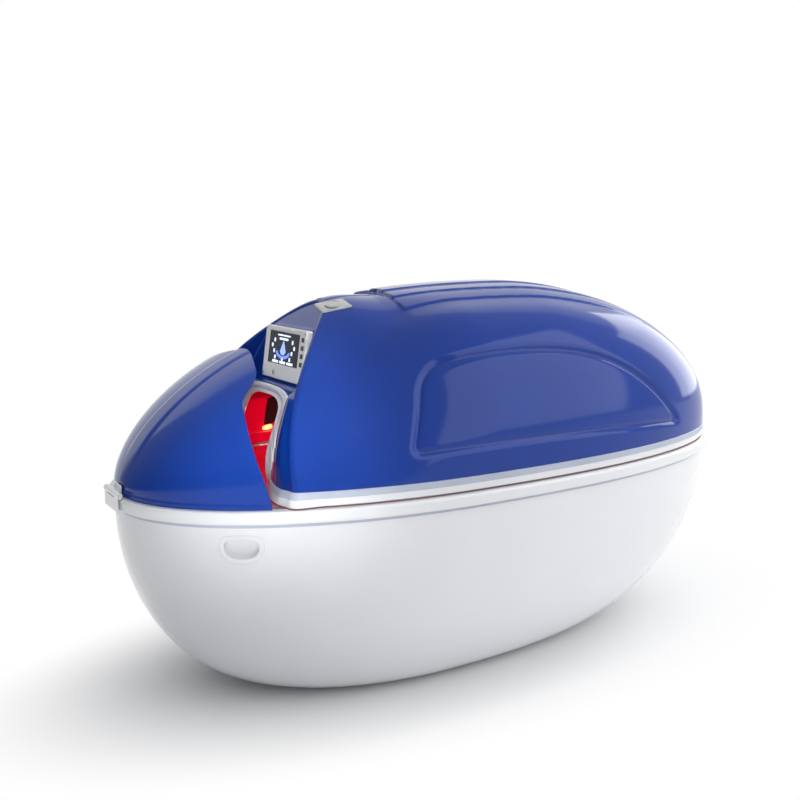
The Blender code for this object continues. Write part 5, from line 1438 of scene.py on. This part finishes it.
def make_stage():
    """Pale floor, white backdrop, soft light and the photograph's camera."""
    scene = bpy.context.scene
    scene.view_settings.view_transform = "Standard"
    camera = bpy.data.objects.new("camera", bpy.data.cameras.new("camera"))
    camera.data.lens, camera.data.sensor_width = CAMERA_LENS, CAMERA_SENSOR
    aim(camera, CAMERA_AT, CAMERA_TO)
    scene.camera = camera

    floor = loft("floor", [lifted(circle(STAGE_STEPS) * FLOOR_RADIUS, z) for z in (STAGE_LOW, 0.0)])
    floor.data.materials.append(pale_stage("floor_paint", FLOOR_TONE, True))
    paper = pale_stage("backdrop_paint", BACKDROP_TONE, False)
    away = (Vector(CAMERA_TO) - Vector(CAMERA_AT)).to_2d().normalized()
    side = Vector((-away.y, away.x)) * BACKDROP_SIZE
    ends = [away * BACKDROP_AWAY - side, away * BACKDROP_AWAY + side]
    wall = make("backdrop", [(*end, z) for z in (STAGE_LOW, BACKDROP_SIZE) for end in ends], [(0, 1, 3, 2)])
    round_wall = circle(STAGE_STEPS) * SURROUND_RADIUS
    rows = [lifted(round_wall, z) for z in (SURROUND_LOW, BACKDROP_SIZE)]
    surround = make("surround", np.concatenate(rows), weave(2, STAGE_STEPS, ring=True))
    surround.visible_diffuse = surround.visible_glossy = surround.visible_shadow = False
    for item in (wall, surround):
        item.data.materials.append(paper)

    scene.world = bpy.data.worlds.new("studio")
    scene.world.use_nodes = True
    tree = scene.world.node_tree
    place = add(tree, "TexCoord", {}, "Generated")
    towards = add(tree, "VectorMath", {0: place, 1: SKY_TOWARDS}, "Value", operation="DOT_PRODUCT")
    share = add(tree, "MapRange", {"Value": towards, "From Min": SKY_FROM}, "Result")
    sky = two_tones(tree, share, (0.0, SKY_DARK), (1.0, SKY_PALE))
    feed(tree, tree.nodes["Background"], {"Color": sky, "Strength": 1.0})

    for name, (at, to, size, power, mirrored, spread) in LIGHTS.items():
        lamp = bpy.data.lights.new(name, "AREA")
        lamp.spread = math.radians(spread)
        lamp.shape = "RECTANGLE"
        lamp.size, lamp.size_y = size
        lamp.energy = power
        made = bpy.data.objects.new(name, lamp)
        made.visible_glossy = mirrored
        made.visible_camera = False
        aim(made, at, to)


for item in list(bpy.data.objects):
    bpy.data.objects.remove(item, do_unlink=True)
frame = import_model()
finishes = {}
for name, (colour, roughness, more) in FINISHES.items():
    finishes[name] = finish_of(name, colour, roughness, **more)
paint_cabin_red_light(finishes["red_lit_liner"])
slot_of = {subpart["node"]: subpart["material_slot"] for subpart in frame["record"]["subparts"]}
for node, item in frame["nodes"].items():
    item.data.materials.clear()
    item.data.materials.append(finishes[slot_of[node]])
make_stage()
settle(make_lid_skin(), "blue_gelcoat", "lid", "lid_shell")
settle(make_hood_skin(), "blue_gelcoat", "hood", "hood_shell")
hull = make_hull()
for side, tag in SIDES:
    settle(make_grip(f"grip_{tag}", hull, side), "white_gelcoat", "tub", f"grip_cup_{tag}")
settle(hull, "white_gelcoat", "tub", "tub_shell")

# The rim's cove: a thin grey band in the seal's finish, just under the rim's lower edge, where the rim
# overhangs the hull.
cove = (HULL_OVERHANG - COVE_PROUD, HULL_OVERHANG + COVE_PROUD)
rim_section = rectangle((0.0, RIM_LEDGE), RIM_BOTTOM, RIM_TOP)
cove_section = rectangle(cove, RIM_BOTTOM - COVE_HEIGHT, RIM_BOTTOM - GAP)
gasket_section = rectangle(GASKET_INSETS, RIM_TOP + GAP, FLANGE_BOTTOM - GAP)
for name, section, radius, finish, nodes in (
    ("rim_band", rim_section, RIM_ROUND, "white_gelcoat", ["tub_rim"]),
    ("rim_cove", cove_section, COVE_ROUND, "grey_seal", []),
    ("parting_gasket", gasket_section, GASKET_ROUND, "parting_gasket", ["rim_gasket"]),
):
    settle(plan_lofted(name, rounded_section(section, radius), False), finish, "tub", *nodes)

path = flange_path()
flange_section = rounded_section(rectangle((0, FLANGE_WIDTH), FLANGE_BOTTOM, FLANGE_TOP), FLANGE_ROUND)
hem_section = rectangle(HEM_INSETS, FLANGE_BOTTOM + HEM_RISE, FLANGE_TOP)
# The flange's gasket line fills the outer edge of the parting gap: dark rubber with a reddish tint of painted
# red light leaking from the cabin.
line_section = rectangle(LINE_INSETS, RIM_TOP + LINE_RISE, FLANGE_BOTTOM - GAP)
seal_section = rounded_section(rectangle(SEAL_INSETS, FLANGE_TOP - SEAL_DROP, SEAL_TOP), SEAL_ROUND)
for name, section, finish, nodes in (
    ("flange_band", flange_section, "white_gelcoat", ["lid_flange"]),
    ("liner_hem", hem_section, "red_lit_liner", []),
    ("flange_gasket", line_section, "parting_gasket", []),
    ("seal_lip", seal_section, "grey_seal", ["lid_seal"]),
):
    settle(band(name, path, section), finish, "lid", *nodes)

settle(make_fascia(), "blue_gelcoat", "lid", "lid_fascia")
settle(make_neck_trim(), "white_gelcoat", "lid", "neck_trim")
settle(make_neck_seal(), "grey_seal", "lid", "neck_seal")
make_console()
make_badge()
settle(make_liner(), "red_lit_liner", "lid", "lid_liner")
for side, tag in SIDES:
    settle(make_heater(f"heater_face_{tag}", side), "black_heater", "lid", f"heater_panel_{tag}")
    settle(make_lamp(f"lamp_lens_{tag}", side), "warm_lamp", "lid", f"cabin_lamp_{tag}")
make_trays()
make_pillow()
